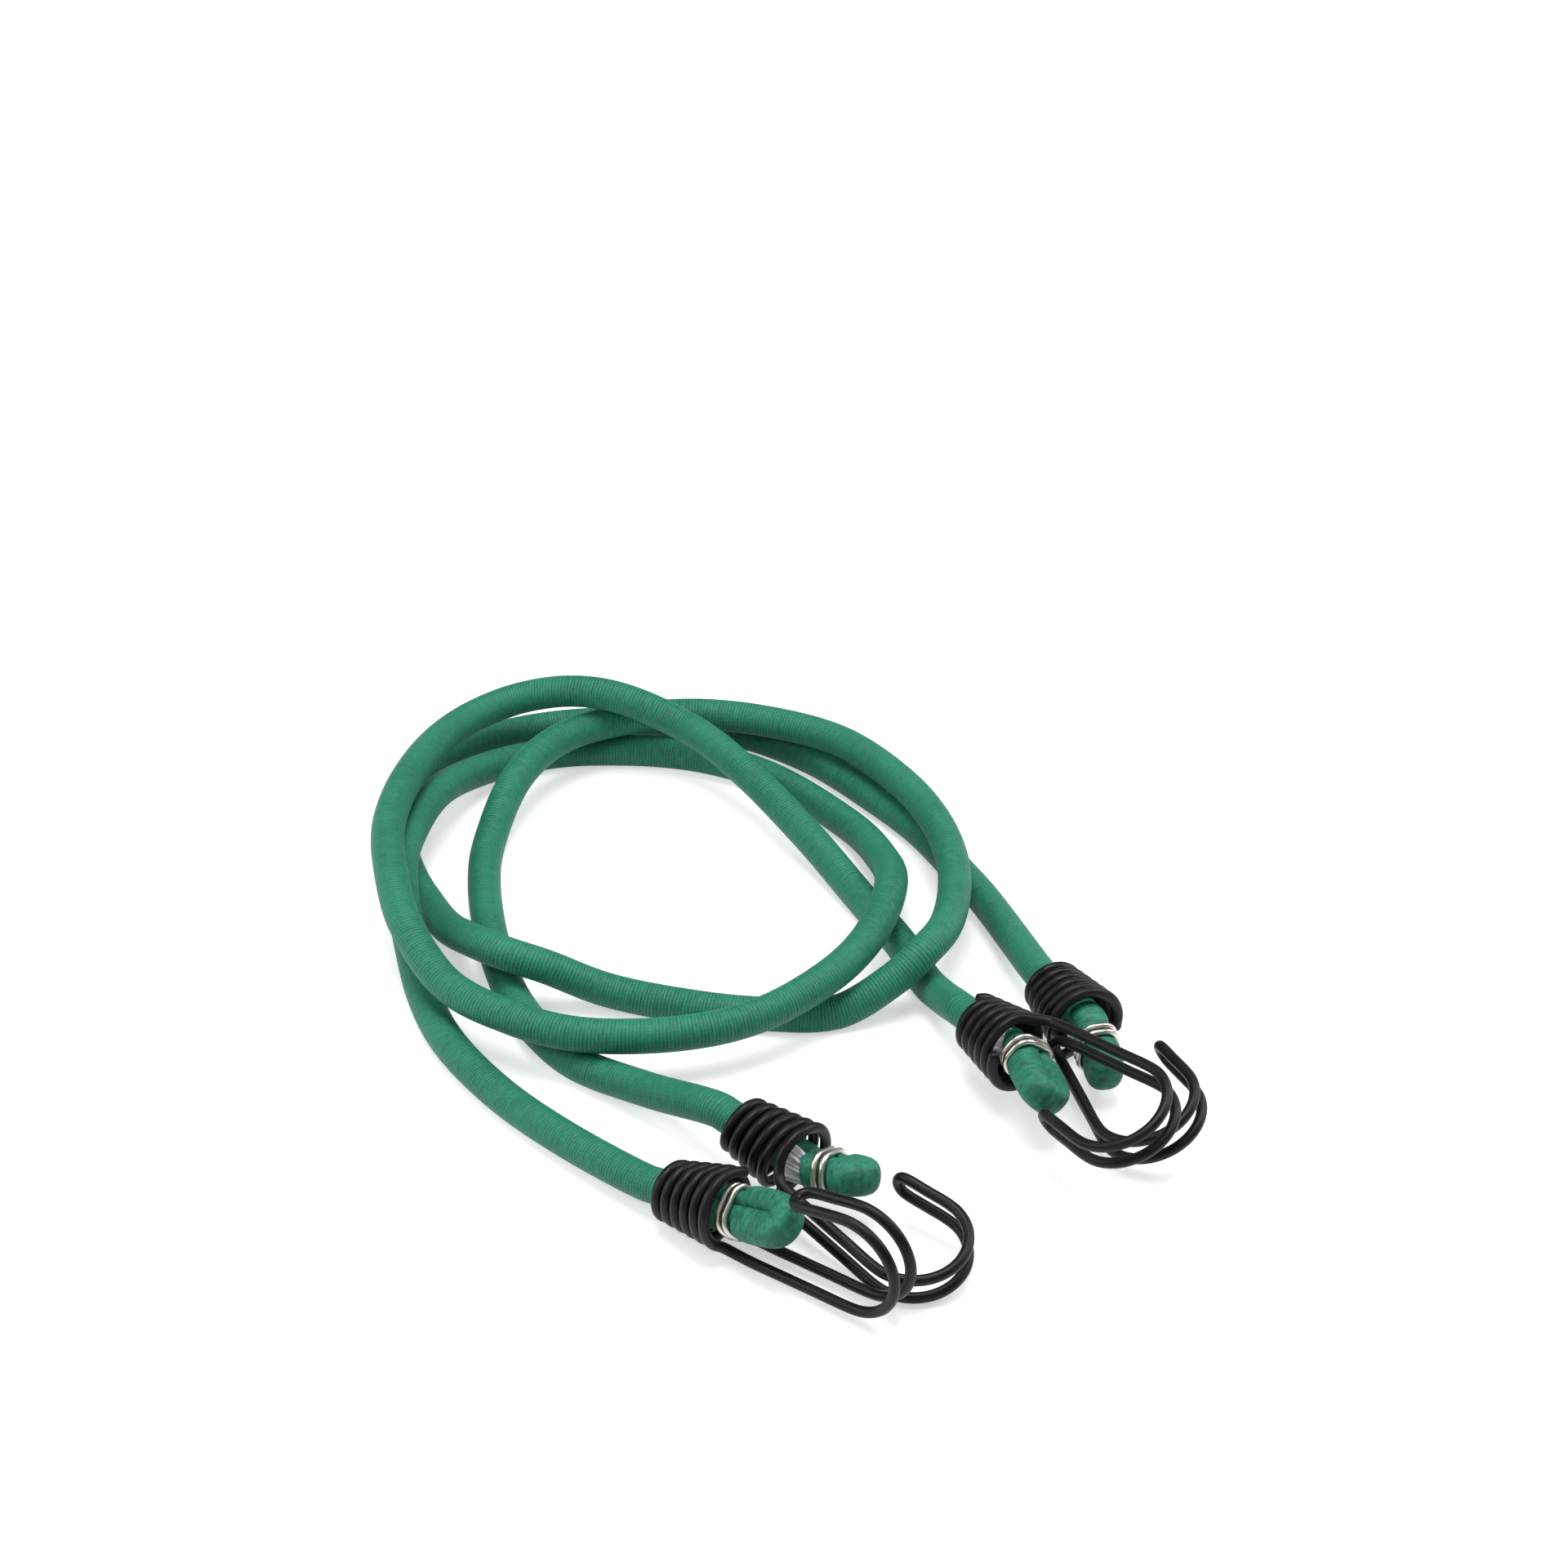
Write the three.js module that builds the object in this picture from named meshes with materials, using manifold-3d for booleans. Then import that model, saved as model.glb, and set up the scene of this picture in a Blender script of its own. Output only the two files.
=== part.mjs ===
// A pair of elastic luggage cords, laid up together in loose loops on a table.
// Each cord is a braided sleeve over a rubber core. At each end the cord runs through
// a conical wire coil, is folded back on itself and is held by a two-turn wire clip, so
// that the fold can't pull back through the coil. The coil's own wire goes on as the hook.
// Millimetres, Z up, the table is z = 0.

import * as THREE from "three";
import { mergeVertices } from "three/addons/utils/BufferGeometryUtils.js";
import Module from "manifold-3d";

const wasm = await Module();
wasm.setup();

// Cord
const CORD_D = 8;
const TABLE_CUT = CORD_D / 10; // depth of the flat where the cord lies on the table
const CORD_FLAT = (CORD_D / 2) * Math.cos(Math.PI / 8); // half width across its eight flats
const SLEEVE_WALL = 1;
const CORE_GAP = 0.4; // all round the rubber core
const CORE_SIDES = 6;
const LEVEL_1 = CORD_D / 2 - TABLE_CUT; // height of a strand that lies on the table
const LAY_GAP = 0.6; // between two strands that cross
const LEVEL_2 = LEVEL_1 + CORD_D + LAY_GAP; // a strand that crosses one other
const LEVEL_3 = LEVEL_2 + CORD_D + LAY_GAP; // a strand that crosses two
const JOIN_GAP = 0.4; // between a tail and the pieces it runs into
const TAIL_L = 42; // free cord behind each coil that gives way when the end is pulled
const TAIL_STEPS = 8;
const LOOP_STEPS = 50;

// Folded end
const FOLD_PRESS = 0.85; // how much a leg's half width is pressed in
const FOLD_FLAT = CORD_FLAT - FOLD_PRESS; // half width of a pressed leg
const FOLD_CREASE = 0.4; // between the two legs
const FOLD_PITCH = FOLD_FLAT + FOLD_CREASE / 2; // from the fold's middle to each of its two legs
const CUT_SHOW = 4.1; // of the returning leg, between its cut end and the clip
const CORE_SHOWS = 3.4; // rubber that stands out of the cut sleeve
const MOUTH_PRESS = 0.9; // how far the mouth presses the two legs in
const FOLD_START = 4; // from the coil's mouth to where the fold turns off the coil's axis
const FOLD_STRAIGHT = 15.4; // from the mouth to the fold's round end
const CLIP_WIRE = 1.4;
const CLIP_OPEN = 0.6; // between its turns
const CLIP_PITCH = CLIP_WIRE + CLIP_OPEN;
const CLIP_TURNS = 2;
const CLIP_L = CLIP_PITCH * CLIP_TURNS;
const CLIP_GAP = 0.55;
const CLIP_PRESS = 0.7; // how far the clip presses a leg's width in
const CLIP_PRESS_THICK = 0.82; // and its thickness
const CLIP_STEPS = 12;

// Hook, bent from one coated wire
const WIRE_D = 2.5;
const WIRE_SIDES = 6;
const COIL_TURNS = 5;
const COIL_OPEN = 0.55; // between its turns
const COIL_PITCH = WIRE_D + COIL_OPEN;
const COIL_L = COIL_TURNS * COIL_PITCH;
const COIL_CLEAR = 0.45; // round the cord, where it comes in
const COIL_FLARE = 2.4;
const COIL_NARROW_R = CORD_D / 2 + COIL_CLEAR + WIRE_D / 2; // wire middle, where the cord comes in
const COIL_WIDE_R = COIL_NARROW_R + COIL_FLARE; // wire middle, at the mouth
const COIL_STEPS = 16; // for each turn
const CORD_SHOWS = 1.5; // cord of the folded end that comes out behind the coil
const COIL_BACK = COIL_L + WIRE_D / 2 + CORD_SHOWS; // from the mouth to that cord's end
const COIL_LEAD = 3; // straight cord behind that
const RIM_OUT = 0.3; // how far the wire's last turn lies outside the mouth's turn
const SHANK_SET = 0.7; // from the mouth's turn out to the shank
const SHANK_DROP = COIL_WIDE_R + SHANK_SET; // from the coil's axis to the shank, at the mouth
const SHANK_TILT = THREE.MathUtils.degToRad(8.5);
const SHANK_L = 34;
const BEND_R = 11.7;
const BEND_ANGLE = THREE.MathUtils.degToRad(190);
const TIP_L = 10.5;
const LEG_SPREAD = 6.4; // between the two legs at the mouth
const TIP_SPREAD = 5.4; // and at the tip

const point = (x, y, z) => new THREE.Vector3(x, y, z);
const turn = (degrees) => THREE.MathUtils.degToRad(degrees);
const lerp = THREE.MathUtils.lerp;
const UP = point(0, 0, 1);

// The four ends. mouth: middle of the coil's mouth. yaw and pitch: the coil's axis, outwards.
// roll: how the hook lies about that axis. fold: yaw and pitch of the folded end.
// lay: how far the fold is turned about itself, from the side that the viewer sees.
// clip: from the coil's mouth to the clip's first turn.
const VIEWER = point(0, -Math.cos(turn(37.5)), Math.sin(turn(37.5)));
const ENDS = {
  a_front: { mouth: [-12.1, -80, 9.95], yaw: -36.9, pitch: 10.8, roll: 0.5,
    fold: [-41, 19], lay: -20, clip: 2.1 },
  b_front: { mouth: [3, -64.2, 10.5], yaw: -40, pitch: -5.8, roll: -80.5,
    fold: [-30, 11], lay: -75, clip: 7.8 },
  a_side: { mouth: [53.4, -29.5, 13.3], yaw: -57, pitch: 6, roll: 113,
    fold: [-75, -2], lay: -55, clip: 2.1 },
  b_side: { mouth: [69.5, -13.2, 9.3], yaw: -66.3, pitch: 1.9, roll: -67.5,
    fold: [-78, -7], lay: 75, clip: 7.8 },
};

// Where each cord lies, from behind its side hook round one and a half loops to its front hook.
const ROUTE_A = [
  [38, 1.3, 5.2],
  [35, 9, LEVEL_1],
  [29, 25, LEVEL_1],
  [20, 43.5, LEVEL_1],
  [7.5, 65, 6.5],
  [-9.5, 88, 12],
  [-22, 101, 15],
  [-41, 108.5, LEVEL_3],
  [-54, 112, LEVEL_3],
  [-67, 113.5, 17.5],
  [-77, 109, 16],
  [-86, 96, 17],
  [-93, 72, 19.8],
  [-95.5, 50, LEVEL_3],
  [-93, 30, LEVEL_3],
  [-88, 12, 18],
  [-77, -5, 13],
  [-62, -15.5, LEVEL_2],
  [-46, -22, LEVEL_2],
  [-22, -21.5, LEVEL_2],
  [-5, -15, LEVEL_2],
  [12, -1, 13.2],
  [22, 17, 12.6],
  [27, 38, LEVEL_2],
  [25, 57, 6.5],
  [18, 75, LEVEL_1],
  [-2, 97, LEVEL_1],
  [-20, 107, LEVEL_1],
  [-41.5, 110.5, LEVEL_1],
  [-63, 108, LEVEL_1],
  [-78, 96.5, 5.8],
  [-87, 78, 11],
  [-92, 57, LEVEL_2],
  [-92.5, 45, 11.6],
  [-91, 33, 9.5],
  [-88.5, 21.5, 5],
  [-84, 4, LEVEL_1],
  [-77, -13.5, LEVEL_1],
  [-64, -32.5, LEVEL_1],
  [-48, -50, 4.2],
];
const ROUTE_B = [
  [50, 43.5, LEVEL_1],
  [45.5, 53, LEVEL_1],
  [36, 72, LEVEL_1],
  [24.5, 88, LEVEL_1],
  [7.5, 107, LEVEL_1],
  [-12, 119.5, LEVEL_1],
  [-36, 124, LEVEL_1],
  [-59, 122.3, LEVEL_1],
  [-76, 116, LEVEL_1],
  [-89, 106, LEVEL_1],
  [-96, 88, LEVEL_1],
  [-96, 70, LEVEL_1],
  [-91, 52, LEVEL_1],
  [-86, 41, LEVEL_1],
  [-80, 27, 6.5],
  [-73, 15, 11.4],
  [-65, 8, 12.8],
  [-55, 5.5, 10.6],
  [-41, 4, 5],
  [-22, 0, LEVEL_1],
  [-5, -3, LEVEL_1],
  [13, -2.5, LEVEL_1],
  [26, 2.5, 8.6],
  [34, 8.5, 13],
  [40, 22, LEVEL_2],
  [42.5, 43.5, LEVEL_2],
  [39, 64, LEVEL_2],
  [31, 82, LEVEL_2],
  [16, 101, LEVEL_2],
  [-2, 110.5, LEVEL_2],
  [-22, 114.5, LEVEL_2],
  [-41.5, 111.5, LEVEL_2],
  [-57, 102, 12],
  [-67, 86, 10.5],
  [-73, 66, 4],
  [-73, 49, LEVEL_1],
  [-68, 20, LEVEL_1],
  [-60.5, -2, LEVEL_1],
  [-48, -20.5, LEVEL_1],
  [-31, -34, 5.7],
];

/** A direction from its yaw and pitch in degrees. */
function direction(yaw, pitch) {
  const flat = Math.cos(turn(pitch));
  return point(flat * Math.cos(turn(yaw)), flat * Math.sin(turn(yaw)), Math.sin(turn(pitch)));
}

/** The frame of an end: x along the coil's axis, z as near up as that allows. */
function endFrame(end) {
  const x = direction(end.yaw, end.pitch);
  const y = UP.clone().cross(x).normalize();
  const z = x.clone().cross(y);
  return new THREE.Matrix4().makeBasis(x, y, z).setPosition(...end.mouth);
}

/** Frames along a line of points: each holds its place and two directions across it. */
function framesAlong(points, across) {
  let side = across.clone();
  return points.map((at, i) => {
    const before = points[Math.max(i - 1, 0)];
    const after = points[Math.min(i + 1, points.length - 1)];
    const along = after.clone().sub(before).normalize();
    side = side.clone().addScaledVector(along, -side.dot(along)).normalize();
    return { at, side, up: along.clone().cross(side) };
  });
}

/** Frames at even steps on part of a curve, their second direction as near up as the curve allows. */
function framesUpright(curve, from, to, steps) {
  const length = curve.getLength();
  return Array.from({ length: steps + 1 }, (_, i) => {
    const share = lerp(from, to, i / steps) / length;
    const along = curve.getTangentAt(share);
    const side = UP.clone().cross(along).normalize();
    return { at: curve.getPointAt(share), side, up: along.clone().cross(side) };
  });
}

/** An eight-sided outline from its half width and half height across the flats. */
function octagon(a, b) {
  const t = Math.tan(Math.PI / 8);
  const quarter = [[a, b * t], [a * t, b]];
  return [
    ...quarter,
    ...quarter.map(([x, y]) => [-x, y]).reverse(),
    ...quarter.map(([x, y]) => [-x, -y]),
    ...quarter.map(([x, y]) => [x, -y]).reverse(),
  ];
}

/** A round outline of so many sides. */
function ring(radius, sides) {
  return Array.from({ length: sides }, (_, i) => {
    const angle = (2 * Math.PI * (i + 0.5)) / sides;
    return [radius * Math.cos(angle), radius * Math.sin(angle)];
  });
}

/** One closed surface through a list of outlines, each placed on its frame, with a bore if one is given. */
function sweep(frames, outlines, bores) {
  const corners = [];
  const faces = [];
  const lay = (list) =>
    list.map((outline, i) =>
      outline.map(([a, b]) => {
        const { at, side, up } = frames[i];
        const p = at.clone().addScaledVector(side, a).addScaledVector(up, b);
        corners.push(p.x, p.y, p.z);
        return corners.length / 3 - 1;
      }),
    );
  const quad = (a, b, c, d) => faces.push(a, b, c, a, c, d);
  const skin = (rows, inward) => {
    for (let i = 0; i + 1 < rows.length; i += 1) {
      const n = rows[i].length;
      for (let k = 0; k < n; k += 1) {
        const m = (k + 1) % n;
        if (inward) quad(rows[i][m], rows[i][k], rows[i + 1][k], rows[i + 1][m]);
        else quad(rows[i][k], rows[i][m], rows[i + 1][m], rows[i + 1][k]);
      }
    }
  };
  const outer = lay(outlines);
  skin(outer, false);
  const first = outer[0];
  const last = outer[outer.length - 1];
  if (bores) {
    const inner = lay(bores);
    skin(inner, true);
    const innerLast = inner[inner.length - 1];
    for (let k = 0; k < first.length; k += 1) {
      const m = (k + 1) % first.length;
      quad(first[m], first[k], inner[0][k], inner[0][m]);
      quad(last[k], last[m], innerLast[m], innerLast[k]);
    }
  } else {
    for (let k = 1; k + 1 < first.length; k += 1) {
      faces.push(first[0], first[k + 1], first[k]);
      faces.push(last[0], last[k], last[k + 1]);
    }
  }
  const geometry = new THREE.BufferGeometry();
  geometry.setAttribute("position", new THREE.Float32BufferAttribute(corners, 3));
  geometry.setIndex(faces);
  return geometry;
}

function solid(geometry) {
  const bare = new THREE.BufferGeometry();
  bare.setAttribute("position", geometry.getAttribute("position"));
  bare.setIndex(geometry.getIndex());
  const merged = mergeVertices(bare, 1e-4);
  return new wasm.Manifold(
    new wasm.Mesh({
      numProp: 3,
      vertProperties: new Float32Array(merged.getAttribute("position").array),
      triVerts: new Uint32Array(merged.getIndex().array),
    }),
  );
}

/** Takes away what lies under the table. */
function cutFlat(geometry) {
  geometry.computeBoundingBox();
  const size = geometry.boundingBox.getSize(new THREE.Vector3()).addScalar(CORD_D);
  const middle = geometry.boundingBox.getCenter(new THREE.Vector3());
  const table = new THREE.BoxGeometry(size.x, size.y, CORD_D).translate(middle.x, middle.y, -CORD_D / 2);
  const mesh = solid(geometry).subtract(solid(table)).getMesh();
  const cut = new THREE.BufferGeometry();
  cut.setAttribute("position", new THREE.Float32BufferAttribute(mesh.vertProperties, 3));
  cut.setIndex([...mesh.triVerts]);
  return cut;
}

const group = new THREE.Group();
group.name = "bungee_cords";

function add(name, geometry, colour, roughness, metalness) {
  const material = new THREE.MeshStandardMaterial({ color: colour, roughness, metalness });
  const mesh = new THREE.Mesh(geometry, material);
  mesh.name = name;
  group.add(mesh);
}
const addSleeve = (name, geometry) => add(name, geometry, 0x2f8f6d, 0.75, 0);
const addCore = (name, geometry) => add(name, geometry, 0xd8d4d8, 0.7, 0);
const addHook = (name, geometry) => add(name, geometry, 0x1c1c1f, 0.45, 0);
const addClip = (name, geometry) => add(name, geometry, 0xb9b8b4, 0.35, 1);

/** A stretch of cord: its sleeve with the bore, and the rubber core inside. */
function addCord(name, frames) {
  const bore = CORD_FLAT - SLEEVE_WALL;
  const core = bore - CORE_GAP;
  const sleeve = sweep(
    frames,
    frames.map(() => octagon(CORD_FLAT, CORD_FLAT)),
    frames.map(() => octagon(bore, bore)),
  );
  addSleeve(`${name}_sleeve`, cutFlat(sleeve));
  addCore(`${name}_core`, sweep(frames, frames.map(() => ring(core, CORE_SIDES))));
}

/** The hook's wire in the frame of its end, before it is rolled about the coil's axis. */
function hookLine() {
  const line = [];
  const leave = turn(-30);
  const count = COIL_TURNS * COIL_STEPS;
  for (let i = 0; i <= count; i += 1) {
    const t = i / count;
    const angle = leave + 2 * Math.PI * COIL_TURNS * (1 - t);
    const r = lerp(COIL_NARROW_R, COIL_WIDE_R, t);
    line.push(point(lerp(-COIL_L, 0, t), r * Math.cos(angle), r * Math.sin(angle)));
  }
  const shank = (s) => [s * Math.cos(SHANK_TILT), -SHANK_DROP - s * Math.sin(SHANK_TILT)];
  const flat = [0.235, 0.47, 0.735, 1].map((share) => shank(share * SHANK_L));
  const [endX, endZ] = flat[flat.length - 1];
  const centreX = endX + BEND_R * Math.sin(SHANK_TILT);
  const centreZ = endZ + BEND_R * Math.cos(SHANK_TILT);
  const bendSteps = 9;
  let angle = 0;
  for (let i = 1; i <= bendSteps; i += 1) {
    angle = -Math.PI / 2 - SHANK_TILT + (BEND_ANGLE * i) / bendSteps;
    flat.push([centreX + BEND_R * Math.cos(angle), centreZ + BEND_R * Math.sin(angle)]);
  }
  const back = [-Math.sin(angle), Math.cos(angle)];
  const [backX, backZ] = flat[flat.length - 1];
  flat.push([backX + back[0] * TIP_L * 0.5, backZ + back[1] * TIP_L * 0.5]);
  flat.push([backX + back[0] * TIP_L, backZ + back[1] * TIP_L]);
  const half = (i) => lerp(LEG_SPREAD, TIP_SPREAD, i / (flat.length - 1)) / 2;
  const rim = (x, radius, degrees) =>
    point(x * WIRE_D, radius * Math.cos(turn(degrees)), radius * Math.sin(turn(degrees)));
  const turnIn = RIM_OUT * 0.6; // where each leg bends over from the mouth to the shank
  const legIn = LEG_SPREAD / 2 + turnIn;
  line.push(rim(0.62, COIL_WIDE_R + turnIn, -52));
  line.push(point(1.45 * WIRE_D, legIn, -SHANK_DROP - turnIn / 2));
  flat.forEach(([x, z], i) => line.push(point(x, half(i), z)));
  const [tipX, tipZ] = flat[flat.length - 1];
  for (const across of [0.72, 0, -0.72]) {
    const out = (TIP_SPREAD / 2) * Math.sqrt(1 - across * across);
    line.push(point(tipX + back[0] * out, (across * TIP_SPREAD) / 2, tipZ + back[1] * out));
  }
  flat.map(([x, z], i) => point(x, -half(i), z)).reverse().forEach((p) => line.push(p));
  line.push(point(1.5 * WIRE_D, -legIn, -SHANK_DROP - turnIn / 2));
  const lastTurn = [
    [0.78, 236], [0.52, 216], [0.46, 196], [0.52, 174], [0.6, 150],
    [0.68, 126], [0.78, 100], [0.88, 74], [0.98, 48],
  ];
  for (const [x, degrees] of lastTurn) line.push(rim(x, COIL_WIDE_R + RIM_OUT, degrees));
  return line;
}

function addHookFor(name, end) {
  const roll = new THREE.Matrix4().makeRotationX(turn(end.roll));
  const place = endFrame(end).multiply(roll);
  const points = hookLine().map((p) => p.applyMatrix4(place));
  const frames = framesAlong(points, direction(end.yaw, end.pitch));
  addHook(`${name}_hook`, sweep(frames, points.map(() => ring(WIRE_D / 2, WIRE_SIDES))));
  return points;
}

/** The folded end of a cord with its clip. */
function addFold(name, end) {
  const frame = endFrame(end);
  const axis = direction(end.yaw, end.pitch);
  const out = direction(...end.fold);
  const wide = out.clone().cross(VIEWER).normalize().applyAxisAngle(out, turn(end.lay));
  const thick = out.clone().cross(wide).normalize();
  const wideInside = wide.clone().addScaledVector(axis, -wide.dot(axis)).normalize();
  const inside = (x, across) => point(x, 0, 0).applyMatrix4(frame).addScaledVector(wideInside, across);
  const on = (along, across) =>
    inside(FOLD_START, 0).addScaledVector(out, along - FOLD_START).addScaledVector(wide, across);
  const pitchAt = (press) => FOLD_FLAT * press + FOLD_CREASE / 2;
  const clipEnd = end.clip + CLIP_L;
  const margin = CLIP_WIRE * 0.6; // of the pressed cord beside the clip
  const cut = end.clip - CUT_SHOW;
  const rubberEnd = cut - CORE_SHOWS;

  // Each stop of the line: its place, half width and half thickness.
  const deep = -COIL_L * 0.8;
  const main = [
    [inside(-COIL_BACK, 0), CORD_FLAT, CORD_FLAT],
    [inside(deep, -FOLD_PITCH * 0.08), CORD_FLAT, CORD_FLAT],
    [inside(lerp(deep, rubberEnd, 0.55), -FOLD_PITCH * 0.42), lerp(CORD_FLAT, FOLD_FLAT, 0.4), CORD_FLAT],
    [inside(rubberEnd, -FOLD_PITCH * 0.84), lerp(CORD_FLAT, FOLD_FLAT, 0.85), CORD_FLAT],
  ];
  const legs = [
    [inside, cut, MOUTH_PRESS, 1],
    [on, end.clip - margin, CLIP_PRESS, CLIP_PRESS_THICK],
    [on, clipEnd + margin, CLIP_PRESS, CLIP_PRESS_THICK],
    [on, clipEnd + margin * 2.6, 1, 1],
    [on, FOLD_STRAIGHT, 1, 1],
  ];
  const leg = (side) => ([place, along, press, thin]) =>
    [place(along, side * pitchAt(press)), FOLD_FLAT * press, CORD_FLAT * thin];
  const bend = [-60, -30, 0, 30, 60].map((a) => {
    const along = FOLD_STRAIGHT + FOLD_PITCH * Math.cos(turn(a));
    return [on(along, FOLD_PITCH * Math.sin(turn(a))), FOLD_FLAT, CORD_FLAT];
  });
  const stops = [...main, ...legs.map(leg(-1)), ...bend, ...legs.map(leg(1)).reverse()];
  const outline = (shrink) => ([, a, b]) => octagon(a - shrink, b - shrink);
  const frames = framesAlong(stops.map(([at]) => at), wide);
  const sleeve = sweep(frames, stops.map(outline(0)), stops.map(outline(SLEEVE_WALL)));
  addSleeve(`${name}_fold_sleeve`, sleeve);
  const rubber = [...stops, leg(1)([inside, rubberEnd, MOUTH_PRESS, 1])];
  const rubberFrames = framesAlong(rubber.map(([at]) => at), wide);
  addCore(`${name}_fold_core`, sweep(rubberFrames, rubber.map(outline(SLEEVE_WALL + CORE_GAP))));

  const wireR = CLIP_WIRE / 2;
  const halfWide = pitchAt(CLIP_PRESS) + FOLD_FLAT * CLIP_PRESS + CLIP_GAP + wireR;
  const halfThick = CORD_FLAT * CLIP_PRESS_THICK + CLIP_GAP + wireR;
  const corner = halfThick * 0.8;
  const steps = CLIP_TURNS * CLIP_STEPS;
  const step = (2 * Math.PI) / CLIP_STEPS;
  const away = Math.atan2(-VIEWER.dot(thick), -VIEWER.dot(wide));
  const first = Math.round(away / step); // the wire's ends lie on the side that the viewer doesn't see
  const clip = Array.from({ length: steps + 1 }, (_, i) => {
    const angle = (first + i) * step;
    const reach = (value, half) => Math.sign(value) * (half - corner) + corner * value;
    const across = reach(Math.cos(angle), halfWide);
    const through = reach(Math.sin(angle), halfThick);
    const along = end.clip + (CLIP_PITCH * i) / CLIP_STEPS;
    return on(along, across).addScaledVector(thick, through);
  });
  addClip(`${name}_clip`, sweep(framesAlong(clip, out), clip.map(() => ring(wireR, 5))));
  return clip;
}

/** The least gap of a wound line to itself, between points more than a given length apart along it. */
function leastGap(points, thickness, apart) {
  const curve = new THREE.CatmullRomCurve3(points, false, "centripetal");
  const length = curve.getLength();
  const dots = curve.getSpacedPoints(Math.round(length)); // a millimetre apart
  const skipped = Math.round(apart);
  let least = Infinity;
  let place = null;
  for (let i = 0; i < dots.length; i += 1) {
    for (let k = i + skipped; k < dots.length; k += 1) {
      const d = dots[i].distanceTo(dots[k]);
      if (d < least) {
        least = d;
        place = dots[i];
      }
    }
  }
  return [least - thickness, place.toArray().map((v) => Math.round(v))];
}

for (const [name, end] of Object.entries(ENDS)) {
  const line = addHookFor(name, end);
  const [gap, place] = leastGap(line, WIRE_D, 12);
  console.log(`${name}_hook least gap to itself ${gap.toFixed(2)} mm near ${place}`);
  const clip = addFold(name, end);
  const [clipGap] = leastGap(clip, CLIP_WIRE, 10);
  console.log(`${name}_clip least gap to itself ${clipGap.toFixed(2)} mm`);
}

const cordLines = {};
for (const [cord, route] of Object.entries({ a: ROUTE_A, b: ROUTE_B })) {
  const behind = (end, x) => point(x, 0, 0).applyMatrix4(endFrame(end));
  const start = -COIL_BACK - JOIN_GAP;
  const side = ENDS[`${cord}_side`];
  const front = ENDS[`${cord}_front`];
  const points = [
    behind(side, start),
    behind(side, start - COIL_LEAD),
    ...route.map((p) => point(...p)),
    behind(front, start - COIL_LEAD),
    behind(front, start),
  ];
  const curve = new THREE.CatmullRomCurve3(points, false, "centripetal");
  curve.arcLengthDivisions = 2000;
  const length = curve.getLength();
  cordLines[cord] = curve.getSpacedPoints(Math.round(length));
  addCord(`${cord}_side_tail`, framesUpright(curve, 0, TAIL_L, TAIL_STEPS));
  const loopEnd = length - TAIL_L - JOIN_GAP;
  addCord(`${cord}_loops`, framesUpright(curve, TAIL_L + JOIN_GAP, loopEnd, LOOP_STEPS));
  addCord(`${cord}_front_tail`, framesUpright(curve, length - TAIL_L, length, TAIL_STEPS));
  const [gap, place] = leastGap(points, CORD_D, CORD_D * 4);
  console.log(`cord ${cord} is ${length.toFixed(1)} mm long between its coils`);
  console.log(`cord ${cord} least gap to itself ${gap.toFixed(2)} mm near ${place}`);
}

let between = Infinity;
let betweenAt = null;
for (const p of cordLines.a) {
  for (const q of cordLines.b) {
    if (p.distanceTo(q) < between) {
      between = p.distanceTo(q);
      betweenAt = p.toArray().map((v) => Math.round(v));
    }
  }
}
console.log(`least gap between the cords ${(between - CORD_D).toFixed(2)} mm near ${betweenAt}`);

// The part's origin is under the middle of all of it.
const middle = new THREE.Box3().setFromObject(group).getCenter(new THREE.Vector3());
for (const mesh of group.children) mesh.geometry.translate(-middle.x, -middle.y, 0);
console.log(`moved by ${(-middle.x).toFixed(3)}, ${(-middle.y).toFixed(3)} mm to stand over the origin`);

export default group;
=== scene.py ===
import logging
import math
from dataclasses import dataclass, field
from enum import Enum
from typing import Callable, Sequence

import bmesh
import bpy
import numpy as np
from mathutils import Matrix, Vector

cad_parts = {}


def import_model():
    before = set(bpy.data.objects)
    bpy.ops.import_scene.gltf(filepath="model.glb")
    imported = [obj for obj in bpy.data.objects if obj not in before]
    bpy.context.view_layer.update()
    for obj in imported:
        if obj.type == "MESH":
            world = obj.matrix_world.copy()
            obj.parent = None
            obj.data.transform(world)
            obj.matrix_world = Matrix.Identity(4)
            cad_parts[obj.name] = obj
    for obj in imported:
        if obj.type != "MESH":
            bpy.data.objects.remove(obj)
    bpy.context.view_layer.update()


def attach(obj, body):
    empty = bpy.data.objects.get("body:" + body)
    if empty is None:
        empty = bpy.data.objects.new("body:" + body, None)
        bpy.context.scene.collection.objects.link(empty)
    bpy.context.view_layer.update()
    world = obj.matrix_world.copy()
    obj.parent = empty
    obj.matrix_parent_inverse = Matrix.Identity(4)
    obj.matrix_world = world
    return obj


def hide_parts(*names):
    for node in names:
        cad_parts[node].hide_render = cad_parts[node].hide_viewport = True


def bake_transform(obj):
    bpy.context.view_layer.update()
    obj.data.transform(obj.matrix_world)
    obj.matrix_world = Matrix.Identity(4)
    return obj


LOG = logging.getLogger("bungee_cords")

Array = np.ndarray
Outline = Callable[[int], Array]
Point = tuple[float, float, float]
Colour = tuple[float, float, float]
Stop = tuple[Array, float, float, float]
BMesh = bmesh.types.BMesh
Vertices = list[bmesh.types.BMVert]
Piece = bpy.types.Object
Material = bpy.types.Material
Socket = bpy.types.NodeSocket

MM = 0.001

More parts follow.
